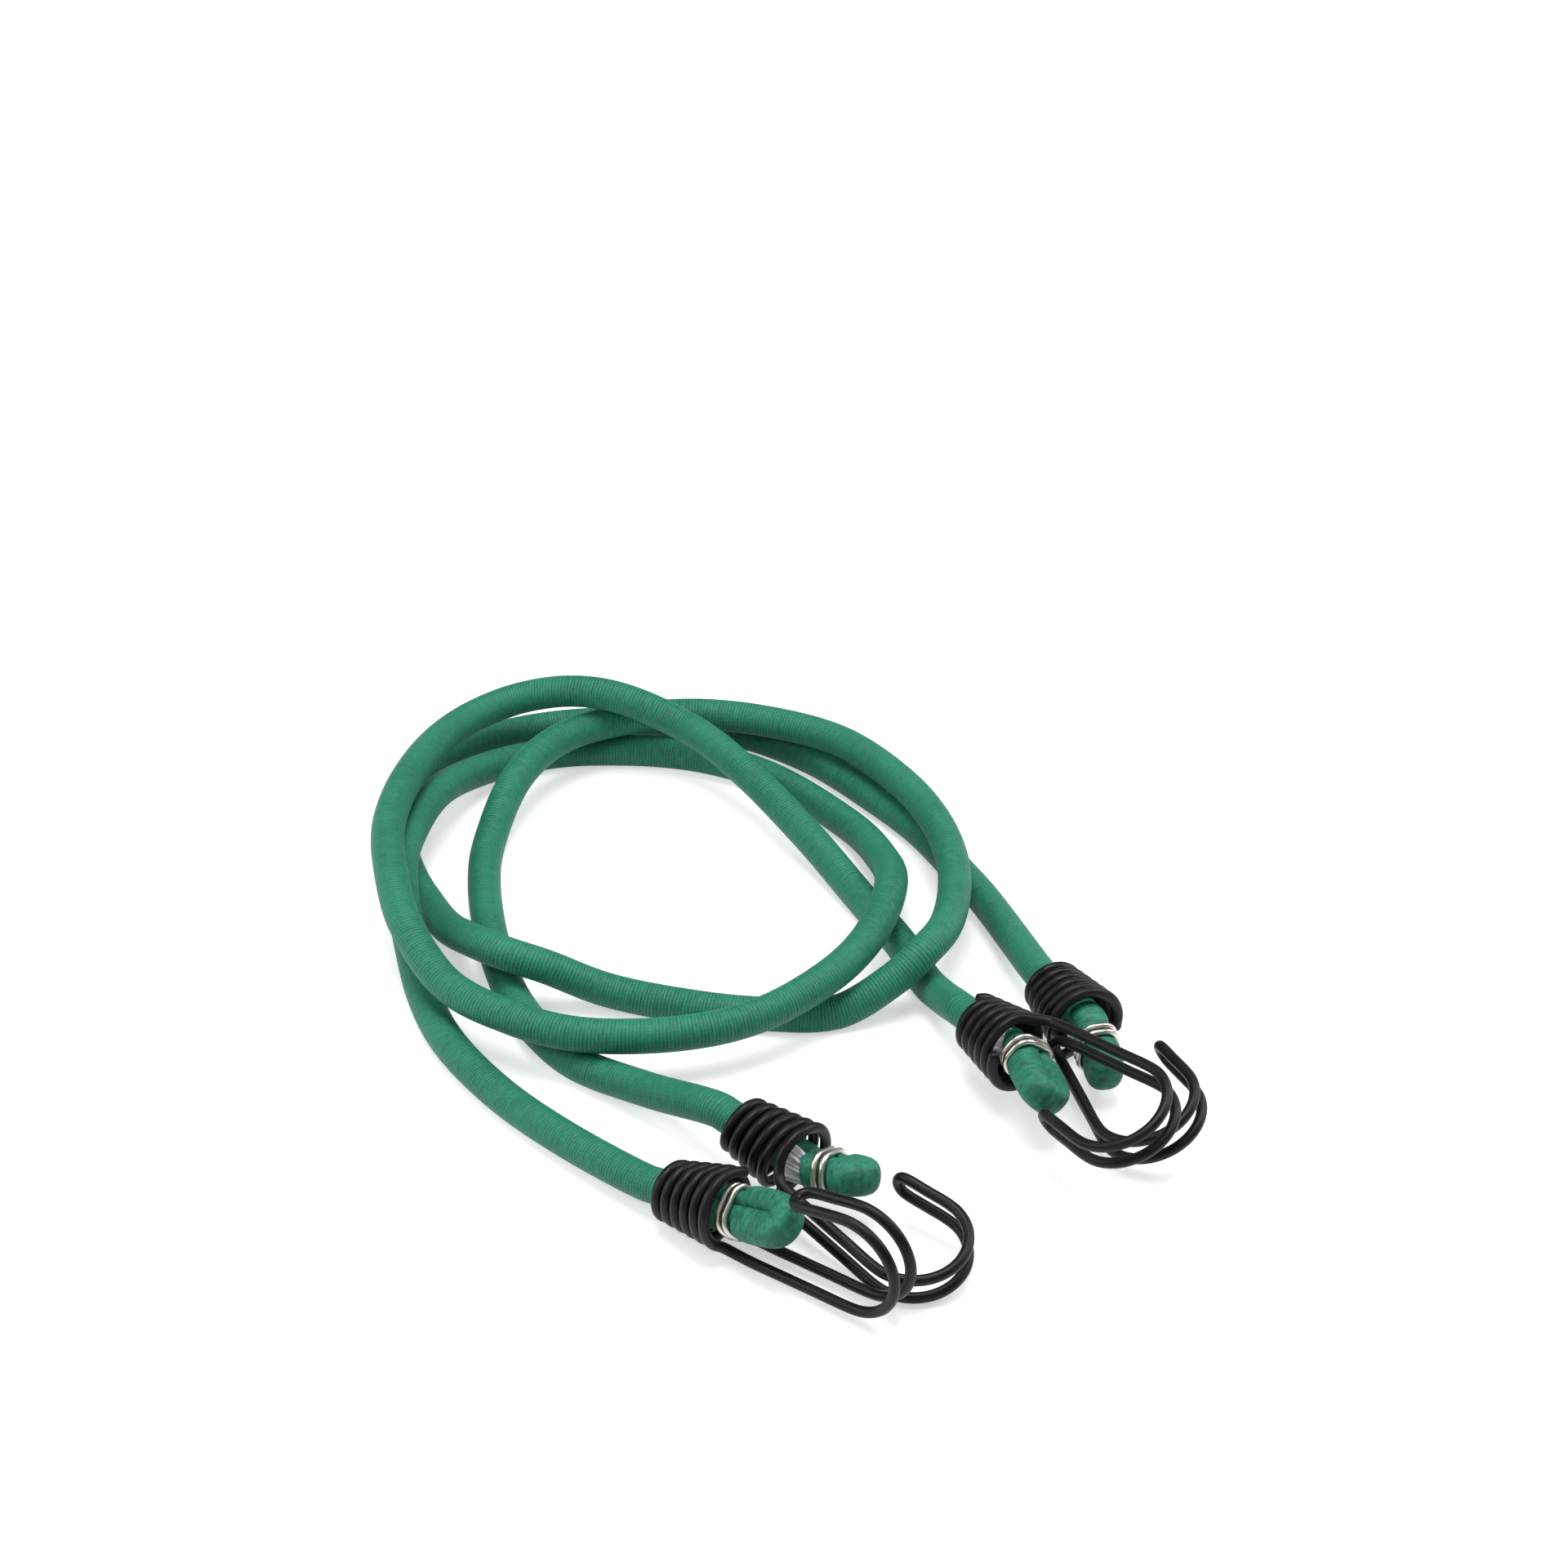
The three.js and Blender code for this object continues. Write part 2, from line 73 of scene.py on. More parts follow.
# The part's own frame stands under the middle of the lay; routes and mouths are written before that move.
SHIFT = np.array([2.600, -8.127, 0.0])
UP = np.array([0.0, 0.0, 1.0])
VIEW_ELEVATION = 37.5
VIEWER = np.array([0.0, -math.cos(math.radians(VIEW_ELEVATION)), math.sin(math.radians(VIEW_ELEVATION))])

# Sizes that several sub-assemblies share, millimetres
CORD_D = 8.0
CORD_R = 4.1  # of the braid, over its ribs
CORD_SIDES = 28
CORD_FLAT = CORD_D / 2 * math.cos(math.pi / 8)  # half the CAD cord's width, from flat to flat
FOLD_FLAT = CORD_FLAT - 0.85  # the same where two legs of it are pressed together
FOLD_CREASE = 0.4
FLOOR_CLEAR = 0.03  # from the table to the underside of the braid

# Heights of a cord's middle: on the table, over one cord and over two
TABLE_CUT = CORD_D / 10
LAY_GAP = 0.6
LEVEL_1 = CORD_D / 2 - TABLE_CUT
LEVEL_2 = LEVEL_1 + CORD_D + LAY_GAP
LEVEL_3 = LEVEL_2 + CORD_D + LAY_GAP

ROUTE_A: list[Point] = [
    (38, 1.3, 5.2), (35, 9, LEVEL_1), (29, 25, LEVEL_1), (20, 43.5, LEVEL_1),
    (7.5, 65, 6.5), (-9.5, 88, 12), (-22, 101, 15), (-41, 108.5, LEVEL_3),
    (-54, 112, LEVEL_3), (-67, 113.5, 17.5), (-77, 109, 16), (-86, 96, 17),
    (-93, 72, 19.8), (-95.5, 50, LEVEL_3), (-93, 30, LEVEL_3), (-88, 12, 18),
    (-77, -5, 13), (-62, -15.5, LEVEL_2), (-46, -22, LEVEL_2), (-22, -21.5, LEVEL_2),
    (-5, -15, LEVEL_2), (12, -1, 13.2), (22, 17, 12.6), (27, 38, LEVEL_2),
    (25, 57, 6.5), (18, 75, LEVEL_1), (-2, 97, LEVEL_1), (-20, 107, LEVEL_1),
    (-41.5, 110.5, LEVEL_1), (-63, 108, LEVEL_1), (-78, 96.5, 5.8), (-87, 78, 11),
    (-92, 57, LEVEL_2), (-92.5, 45, 11.6), (-91, 33, 9.5), (-88.5, 21.5, 5),
    (-84, 4, LEVEL_1), (-77, -13.5, LEVEL_1), (-64, -32.5, LEVEL_1), (-48, -50, 4.2),
]
ROUTE_B: list[Point] = [
    (50, 43.5, LEVEL_1), (45.5, 53, LEVEL_1), (36, 72, LEVEL_1), (24.5, 88, LEVEL_1),
    (7.5, 107, LEVEL_1), (-12, 119.5, LEVEL_1), (-36, 124, LEVEL_1), (-59, 122.3, LEVEL_1),
    (-76, 116, LEVEL_1), (-89, 106, LEVEL_1), (-96, 88, LEVEL_1), (-96, 70, LEVEL_1),
    (-91, 52, LEVEL_1), (-86, 41, LEVEL_1), (-80, 27, 6.5), (-73, 15, 11.4),
    (-65, 8, 12.8), (-55, 5.5, 10.6), (-41, 4, 5), (-22, 0, LEVEL_1),
    (-5, -3, LEVEL_1), (13, -2.5, LEVEL_1), (26, 2.5, 8.6), (34, 8.5, 13),
    (40, 22, LEVEL_2), (42.5, 43.5, LEVEL_2), (39, 64, LEVEL_2), (31, 82, LEVEL_2),
    (16, 101, LEVEL_2), (-2, 110.5, LEVEL_2), (-22, 114.5, LEVEL_2), (-41.5, 111.5, LEVEL_2),
    (-57, 102, 12), (-67, 86, 10.5), (-73, 66, 4), (-73, 49, LEVEL_1),
    (-68, 20, LEVEL_1), (-60.5, -2, LEVEL_1), (-48, -20.5, LEVEL_1), (-31, -34, 5.7),
]


class EndName(Enum):
    """The four hooked ends: which cord, and where in the picture its hook lies."""

    A_FRONT = "a_front"
    B_FRONT = "b_front"
    A_SIDE = "a_side"
    B_SIDE = "b_side"


class Cap(Enum):
    """How the end of a swept tube is closed."""

    FLAT = "flat"
    ROUND = "round"
    CUT_SLEEVE = "cut_sleeve"


class Slot(Enum):
    """Material slots of the record."""

    SLEEVE = "cord_sleeve"
    CORE = "cord_core"
    HOOK = "hook_wire"
    CLIP = "clip_wire"


class Mottle(Enum):
    """Outputs of the mottle group."""

    PATCH = "Patch"
    GRAIN = "Grain"


# The rings that close a tube: how far each lies past the last one, and its share of that one's size.
# How far is in half widths of the tube, but in millimetres for a cut sleeve.
CAP_RINGS: dict[Cap, tuple[tuple[float, float], ...]] = {
    Cap.FLAT: ((0.12, 0.93), (0.14, 0.80)),
    Cap.ROUND: ((0.42, 0.88), (0.62, 0.62), (0.70, 0.28)),
    Cap.CUT_SLEEVE: ((0.15, 0.98), (0.1, 0.93), (-0.4, 0.87), (-2.0, 0.85)),
}


@dataclass(frozen=True)
class BraidFinish:
    """The cord's ribbed sleeve, with painted shade in the grooves between its ribs."""

    lit: Colour  # on the ribs
    groove_shade: Colour  # painted shade between them, in the grooves
    rib_mm: float  # length of one rib along the cord
    stitches: int  # in one rib, all round
    depth_mm: float  # of the ribs
    fuzz: float  # how fine its speckle is, per metre
    fray: float  # how much of the ribs is lost in uneven streaks, 0 to 1
    patches: float = 45.0  # how fine its faded patches are, per metre
    roughness: tuple[float, float] = (0.46, 0.72)  # lowest and highest
    specular: float = 0.36
    sheen: tuple[float, float] = (0.03, 0.45)  # weight and roughness
    sheen_tint: Colour = (0.55, 0.95, 0.78)

    @property
    def faded(self) -> Colour:
        """Colour of its faded patches."""
        return tuple(min(1.0, c * 1.25 + 0.01) for c in self.lit)

    @property
    def speck(self) -> Colour:
        """Colour of its dark specks."""
        return tuple(c * 0.55 for c in self.groove_shade)


@dataclass(frozen=True)
class MottledFinish:
    """A finish of two colours that the mottle group spreads."""

    name: str
    base: Colour
    second: Colour  # where it is worn, dull or stained; on the cut rubber it is painted shade
    spread_by: Mottle  # brings the second colour
    spread: tuple[float, float, float, float]  # least and most of it, and the mottle's values that give them
    rough_by: Mottle  # varies the roughness
    roughness: tuple[float, float]  # lowest and highest
    scales: tuple[float, float]  # how fine its patches and its grain are
    relief: tuple[float, float]  # depth of the grain in millimetres, and how much of it shows
    settings: tuple[tuple[str, object], ...]  # plain values of the main shader
    drawn: Point | None = None  # how the mottle is stretched round and along a wire; None goes by place


# The second colour of each braid is painted shade, put in the grooves between the ribs and in the low streaks
# where they fray.
BRAID = BraidFinish((0.015, 0.226, 0.138), (0.002, 0.052, 0.031), 0.82, 26, 0.18, 2200.0, 0.36)
END_BRAID = BraidFinish((0.017, 0.222, 0.136), (0.002, 0.030, 0.017), 0.85, 20, 0.20, 1500.0, 0.80)
COAT = MottledFinish(
    "black_coat", (0.0035, 0.0035, 0.0045), (0.010, 0.010, 0.012), Mottle.PATCH, (0.0, 0.8, 0.45, 0.8),
    Mottle.PATCH, (0.34, 0.52), (110.0, 1500.0), (0.06, 0.35), (("Specular IOR Level", 0.26),),
)
STEEL = MottledFinish(
    "bright_wire", (0.70, 0.675, 0.62), (0.42, 0.39, 0.34), Mottle.GRAIN, (0.0, 1.0, 0.4, 0.75),
    Mottle.PATCH, (0.24, 0.42), (2.0, 6.0), (0.04, 0.4), (("Metallic", 1.0),), (9.0, 0.12, 1.0),
)
# The cut rubber's second, darker colour is painted shade of the gaps between its strands, spread in random
# patches.
RUBBER = MottledFinish(
    "cut_rubber", (0.80, 0.79, 0.84), (0.50, 0.48, 0.54), Mottle.PATCH, (0.0, 0.9, 0.4, 0.75),
    Mottle.GRAIN, (0.55, 0.75), (260.0, 1800.0), (0.10, 0.5),
    (("Subsurface Weight", 0.15), ("Subsurface Radius", (0.0012, 0.0010, 0.0011))),
)


def unit(v: Array) -> Array:
    """Makes a vector one long."""
    return v / np.linalg.norm(v)


def heading(yaw: float, pitch: float) -> Array:
    """Turns a heading and a rise into a direction.

    Args:
        yaw: heading in degrees.
        pitch: rise in degrees.

    Returns:
        A direction of length one.
    """
    flat = math.cos(math.radians(pitch))
    return np.array([
        flat * math.cos(math.radians(yaw)),
        flat * math.sin(math.radians(yaw)),
        math.sin(math.radians(pitch)),
    ])


def turned(v: Array, axis: Array, degrees: float) -> Array:
    """Turns a vector about an axis of length one."""
    c, s = math.cos(math.radians(degrees)), math.sin(math.radians(degrees))
    return v * c + np.cross(axis, v) * s + axis * np.dot(axis, v) * (1 - c)


def smooth_line(points: Sequence[Array], dense: int) -> Array:
    """Runs a smooth line through points, paced by the root of their spacing.

    Args:
        points: the points it goes through.
        dense: how many steps to take between two of them.

    Returns:
        The line's points, one row each.
    """
    p = np.asarray(points, float)
    p = np.vstack([2 * p[0] - p[1], p, 2 * p[-1] - p[-2]])
    out = []
    for i in range(1, len(p) - 2):
        p0, p1, p2, p3 = p[i - 1:i + 3]
        d0, d1, d2 = (max(np.linalg.norm(b - a), 1e-9) ** 0.5 for a, b in ((p0, p1), (p1, p2), (p2, p3)))
        t1 = ((p1 - p0) / d0 - (p2 - p0) / (d0 + d1) + (p2 - p1) / d1) * d1
        t2 = ((p2 - p1) / d1 - (p3 - p1) / (d1 + d2) + (p3 - p2) / d2) * d1
        t = np.arange(dense)[:, None] / dense
        c2 = -3 * p1 + 3 * p2 - 2 * t1 - t2
        c3 = 2 * p1 - 2 * p2 + t1 + t2
        out.append(p1 + t1 * t + c2 * t ** 2 + c3 * t ** 3)
    out.append(p[-2][None])
    return np.vstack(out)


def lengths_along(line: Array) -> Array:
    """Measures a line, up to each of its points."""
    return np.concatenate([[0.0], np.cumsum(np.linalg.norm(np.diff(line, axis=0), axis=1))])


def even_steps(line: Array, start: float, end: float, step: float) -> tuple[Array, Array]:
    """Takes evenly spaced points from part of a line.

    Args:
        line: the line's points, close together.
        start: where to begin, along the line.
        end: where to stop, along the line.
        step: about how far apart the points are.

    Returns:
        The points, and how far along the line each one is.
    """
    far = lengths_along(line)
    at = np.linspace(start, end, max(2, round((end - start) / step) + 1))
    return np.stack([np.interp(at, far, line[:, k]) for k in range(3)], axis=1), at


def tangents(line: Array) -> Array:
    """Finds the direction of a line at each of its points."""
    d = np.gradient(line, axis=0)
    return d / np.linalg.norm(d, axis=1)[:, None]


def carried_frames(line: Array, across: Array) -> tuple[Array, Array]:
    """Carries a crosswise direction along a line without twist.

    Args:
        line: the line's points.
        across: the crosswise direction at the start.

    Returns:
        Two crosswise directions at each point.
    """
    along = tangents(line)
    side = np.asarray(across, float)
    sides = []
    for t in along:
        side = unit(side - t * np.dot(side, t))
        sides.append(side)
    first = np.array(sides)
    return first, np.cross(along, first)


def upright_frames(line: Array) -> tuple[Array, Array]:
    """Finds crosswise directions along a line that runs near level.

    Args:
        line: the line's points.

    Returns:
        A level direction and one as near up as the line allows, at each point.
    """
    along = tangents(line)
    side = np.cross(UP, along)
    side /= np.linalg.norm(side, axis=1)[:, None]
    return side, np.cross(along, side)


def rounded(a: float, b: float, sides: int, power: float = 2.0) -> Array:
    """Draws a round or squarish outline.

    Args:
        a: half its width.
        b: half its height.
        sides: how many points it has.
        power: 2 is an ellipse, more is squarer.

    Returns:
        The outline's points in two dimensions.
    """
    angle = 2 * math.pi * np.arange(sides) / sides
    c, s = np.cos(angle), np.sin(angle)
    return np.stack([
        a * np.sign(c) * np.abs(c) ** (2 / power),
        b * np.sign(s) * np.abs(s) ** (2 / power),
    ], axis=1)


@dataclass(frozen=True)
class End:
    """Where one hooked end lies, and places on it.

    Lengths are in millimetres and angles in degrees.
    """

    name: EndName
    mouth_at: Point  # middle of the coil's mouth, before the move to the part's frame
    yaw: float  # heading of the coil's axis, outwards
    pitch: float  # rise of that axis
    roll: float  # how the hook lies about the axis
    fold: tuple[float, float]  # heading and rise of the folded cord end
    lay: float  # how far the fold is turned about itself
    clip: float  # from the mouth to the clip's first turn
    fold_start: float = 4.0  # from the mouth to where the fold turns off the axis

    @property
    def label(self) -> str:
        """The name with which its nodes and bodies begin."""
        return self.name.value

    @property
    def axis(self) -> Array:
        """Direction of the coil's axis, outwards."""
        return heading(self.yaw, self.pitch)

    @property
    def mouth(self) -> Array:
        """Middle of the coil's mouth in the part's frame, millimetres."""
        return np.array(self.mouth_at, float) + SHIFT

    def on_axis(self, x: float) -> Array:
        """A point on the coil's axis, x millimetres out of the mouth."""
        return self.mouth + self.axis * x

    def fold_axes(self) -> tuple[Array, Array, Array]:
        """Finds the folded cord's three directions.

        Returns:
            Its outward direction, the one from leg to leg, and the one through it.
        """
        out = heading(*self.fold)
        wide = turned(unit(np.cross(out, VIEWER)), out, self.lay)
        return out, wide, unit(np.cross(out, wide))

    def inside(self, x: float, across: float) -> Array:
        """A place where the fold follows the coil's axis: x out of the mouth, and across from leg to leg."""
        wide = self.fold_axes()[1]
        return self.on_axis(x) + unit(wide - self.axis * np.dot(wide, self.axis)) * across

    def on_fold(self, along: float, across: float) -> Array:
        """A place where the fold has turned off that axis: along it from the mouth, and across."""
        out, wide, _ = self.fold_axes()
        return self.on_axis(self.fold_start) + out * (along - self.fold_start) + wide * across


ENDS: tuple[End, ...] = (
    End(EndName.A_FRONT, (-12.1, -80, 9.95), -36.9, 10.8, 0.5, (-41, 19), -20, 2.1),
    End(EndName.B_FRONT, (3, -64.2, 10.5), -40, -5.8, -80.5, (-30, 11), -75, 7.8),
    End(EndName.A_SIDE, (53.4, -29.5, 13.3), -57, 6, 113, (-75, -2), -55, 2.1),
    End(EndName.B_SIDE, (69.5, -13.2, 9.3), -66.3, 1.9, -67.5, (-78, -7), 75, 7.8),
)


def finish_piece(name: str, bm: BMesh, material: Material, slot: Slot) -> Piece:
    """Turns a mesh in the making into a piece of the scene.

    Args:
        name: the piece's name.
        bm: the mesh, freed here.
        material: its material.
        slot: the record's slot; not used.

    Returns:
        The new object.
    """
    mesh = bpy.data.meshes.new(name)
    bm.to_mesh(mesh)
    bm.free()
    mesh.materials.append(material)
    piece = bpy.data.objects.new(name, mesh)
    bpy.context.scene.collection.objects.link(piece)
    return piece


@dataclass
class Tube:
    """A tube swept along a line, made into one mesh piece."""

    name: str
    line: Array  # middle of each ring, millimetres in the part's frame
    frames: tuple[Array, Array]  # two crosswise directions at each ring
    outline: Outline  # gives ring number i its outline
    along: Array  # how far along its cord each ring is, millimetres
    caps: tuple[Cap, Cap] = (Cap.FLAT, Cap.FLAT)  # how its two ends are closed

    @classmethod
    def wire(cls, name: str, line: Array, across: Array, thickness: float, sides: int, last: Cap) -> "Tube":
        """Sets up a round wire.

        Args:
            name: the piece's name.
            line: its middle line.
            across: a crosswise direction at its start.
            thickness: how thick it is, millimetres.
            sides: how many sides its outline has.
            last: how its last end is closed.

        Returns:
            The tube, not built yet.
        """
        circle = rounded(thickness / 2, thickness / 2, sides)
        frames = carried_frames(line, across)
        return cls(name, line, frames, lambda _: circle, lengths_along(line), (Cap.FLAT, last))

    def rings(self) -> Array:
        """Places the outlines on the line.

        Returns:
            One ring of points for each point of the line.
        """
        side, up = self.frames
        rows = []
        for i, middle in enumerate(self.line):
            flat = self.outline(i)
            rows.append(middle + flat[:, :1] * side[i] + flat[:, 1:] * up[i])
        return np.array(rows)

    def build(self, material: Material, slot: Slot, floor: bool = False) -> Piece:
        """Makes the mesh.

        Args:
            material: the piece's material.
            slot: the record's slot, handed on to finish_piece.
            floor: whether it lies on the table, and is pressed flat there.

        Returns:
            The new piece, in metres.
        """
        rings = self.rings()
        if floor:
            rings[:, :, 2] = np.maximum(rings[:, :, 2], FLOOR_CLEAR)
        bm = bmesh.new()
        first, last = self._draw(bm, rings)
        self._close(bm, first, self.caps[0], rings[0], rings[1], self.along[0])
        self._close(bm, last, self.caps[1], rings[-1], rings[-2], self.along[-1])
        bmesh.ops.recalc_face_normals(bm, faces=bm.faces)
        for face in bm.faces:
            face.smooth = True
        return finish_piece(self.name, bm, material, slot)

    def _draw(self, bm: BMesh, rings: Array) -> tuple[Vertices, Vertices]:
        """Lays a grid round the line, maps it along the cord and welds its seam.

        Args:
            bm: the mesh in the making.
            rings: one ring of points for each point of the line.

        Returns:
            The vertices of the first and of the last ring.
        """
        count, sides = rings.shape[:2]
        uv = bm.loops.layers.uv.new("along")
        grid = bmesh.ops.create_grid(bm, x_segments=sides, y_segments=count - 1, size=CORD_R * MM)["verts"]
        rows = [grid[i * (sides + 1):(i + 1) * (sides + 1)] for i in range(count)]
        for row, ring, along in zip(rows, rings, self.along):
            for k, vert in enumerate(row):
                vert.co = Vector(ring[k % sides] * MM)
                for loop in vert.link_loops:
                    loop[uv].uv = (k / sides, along)
        bmesh.ops.weld_verts(bm, targetmap={row[-1]: row[0] for row in rows})
        return rows[0][:-1], rows[-1][:-1]

    @staticmethod
    def _extrude(bm: BMesh, row: Vertices, points: Array, along: float) -> Vertices:
        """Draws an end ring on to its next place.

        Args:
            bm: the mesh in the making.
            row: the ring's vertices.
            points: where its next ring lies.
            along: how far along the cord both are taken to be.

        Returns:
            The new ring's vertices, in the same order.
        """
        sides = len(row)
        uv = bm.loops.layers.uv["along"]
        edges = [bm.edges.get((row[k - 1], row[k])) for k in range(sides)]
        grown = bmesh.ops.extrude_edge_only(bm, edges=edges)["geom"]
        fresh = {item for item in grown if isinstance(item, bmesh.types.BMVert)}
        new = []
        for vert, point in zip(row, points):
            joined = (edge.other_vert(vert) for edge in vert.link_edges)
            new.append(next(other for other in joined if other in fresh))
            new[-1].co = Vector(point * MM)
        turns = {vert: k for ring in (row, new) for k, vert in enumerate(ring)}
        for face in (item for item in grown if isinstance(item, bmesh.types.BMFace)):
            seam = max(turns[loop.vert] for loop in face.loops) == sides - 1
            for loop in face.loops:
                turn = turns[loop.vert]
                loop[uv].uv = ((sides if seam and turn == 0 else turn) / sides, along)
        return new

    def _close(self, bm: BMesh, row: Vertices, cap: Cap, ring: Array, before: Array, along: float) -> None:
        """Closes one end.

        Args:
            bm: the mesh in the making.
            row: the last ring's vertices.
            cap: how it is closed.
            ring: the last ring's points.
            before: the points of the ring before it.
            along: how far along the cord the last ring is.
        """
        middle = ring.mean(axis=0)
        out = unit(middle - before.mean(axis=0))
        reach = 1.0 if cap is Cap.CUT_SLEEVE else np.linalg.norm(ring - middle, axis=1).max()
        for lift, shrink in CAP_RINGS[cap]:
            row = self._extrude(bm, row, middle + (ring - middle) * shrink + out * (lift * reach), along)
        bmesh.ops.contextual_create(bm, geom=row)


@dataclass
class Nodes:
    """A tree of shader nodes, and the moves that build it."""

    tree: bpy.types.NodeTree

    @classmethod
    def of_group(cls, name: str, inputs: dict[str, float | None], outputs: Sequence[str]) -> "Nodes":
        """Starts a node group.

        Args:
            name: the group's name.
            inputs: the first value of each input, or None for a vector.
            outputs: names of its number outputs.

        Returns:
            The group's nodes, with its input and output nodes named "in" and "out".
        """
        tree = bpy.data.node_groups.new(name, "ShaderNodeTree")
        for label, value in inputs.items():
            kind = "NodeSocketVector" if value is None else "NodeSocketFloat"
            socket = tree.interface.new_socket(label, in_out="INPUT", socket_type=kind)
            if value is not None:
                socket.default_value = value
        for label in outputs:
            tree.interface.new_socket(label, in_out="OUTPUT", socket_type="NodeSocketFloat")
        tree.nodes.new("NodeGroupInput").name = "in"
        tree.nodes.new("NodeGroupOutput").name = "out"
        return cls(tree)

    def feed(self, value: object, socket: Socket) -> None:
        """Links another socket to a socket, or gives it a value.

        Args:
            value: the other socket, a number, a vector, or a colour without its alpha.
            socket: the socket to feed.
        """
        if isinstance(value, Socket):
            self.tree.links.new(value, socket)
        elif isinstance(value, tuple) and socket.type == "RGBA":
            socket.default_value = (*value, 1.0)
        else:
            socket.default_value = value

    def add(self, kind: str | bpy.types.NodeTree, **inputs: object) -> bpy.types.Node:
        """Adds a node, or a shared group.

        Args:
            kind: its type, after the word ShaderNode, or the group.
            inputs: what feeds its inputs, with _ for a space in their names.

        Returns:
            The node.
        """
        if isinstance(kind, str):
            node = self.tree.nodes.new(f"ShaderNode{kind}")
        else:
            node = self.tree.nodes.new("ShaderNodeGroup")
            node.node_tree = kind
        for label, value in inputs.items():
            self.feed(value, node.inputs[label.replace("_", " ")])
        return node

    def calc(self, operation: str, *values: object) -> Socket:
        """Works out a number.

        Args:
            operation: what the math node does.
            values: sockets to link, or numbers.

        Returns:
            The result.
        """
        node = self.add("Math")
        node.operation = operation
        for socket, value in zip(node.inputs, values):
            self.feed(value, socket)
        return node.outputs[0]

    def mix(self, factor: Socket, a: object, b: object) -> Socket:
        """Mixes two colours.

        Args:
            factor: how much of the second.
            a: the first colour, or a socket.
            b: the second colour, or a socket.

        Returns:
            The mixed colour.
        """
        node = self.add("Mix")
        node.data_type = "RGBA"
        for number, value in ((0, factor), (6, a), (7, b)):
            self.feed(value, node.inputs[number])
        return node.outputs[2]

    def spread(self, value: Socket, low: float, high: float, start: float = 0.3, end: float = 0.7) -> Socket:
        """Spreads a number over a range: low at start, high at end."""
        node = self.add("MapRange", Value=value, From_Min=start, From_Max=end, To_Min=low, To_Max=high)
        return node.outputs[0]

    def uv(self) -> Socket:
        """Reads the map round and along a tube.

        Returns:
            The turn, 0 to 1, and the length in millimetres.
        """
        node = self.add("UVMap")
        node.uv_map = "along"
        return node.outputs[0]

    def place(self) -> Socket:
        """Reads the place in space, metres."""
        return self.add("TexCoord").outputs["Object"]

    def bump(self, height: Socket, depth_mm: float, strength: float) -> Socket:
        """Turns a height of 0 to 1 into the normal of its relief."""
        return self.add("Bump", Distance=depth_mm * MM, Strength=strength, Height=height).outputs[0]


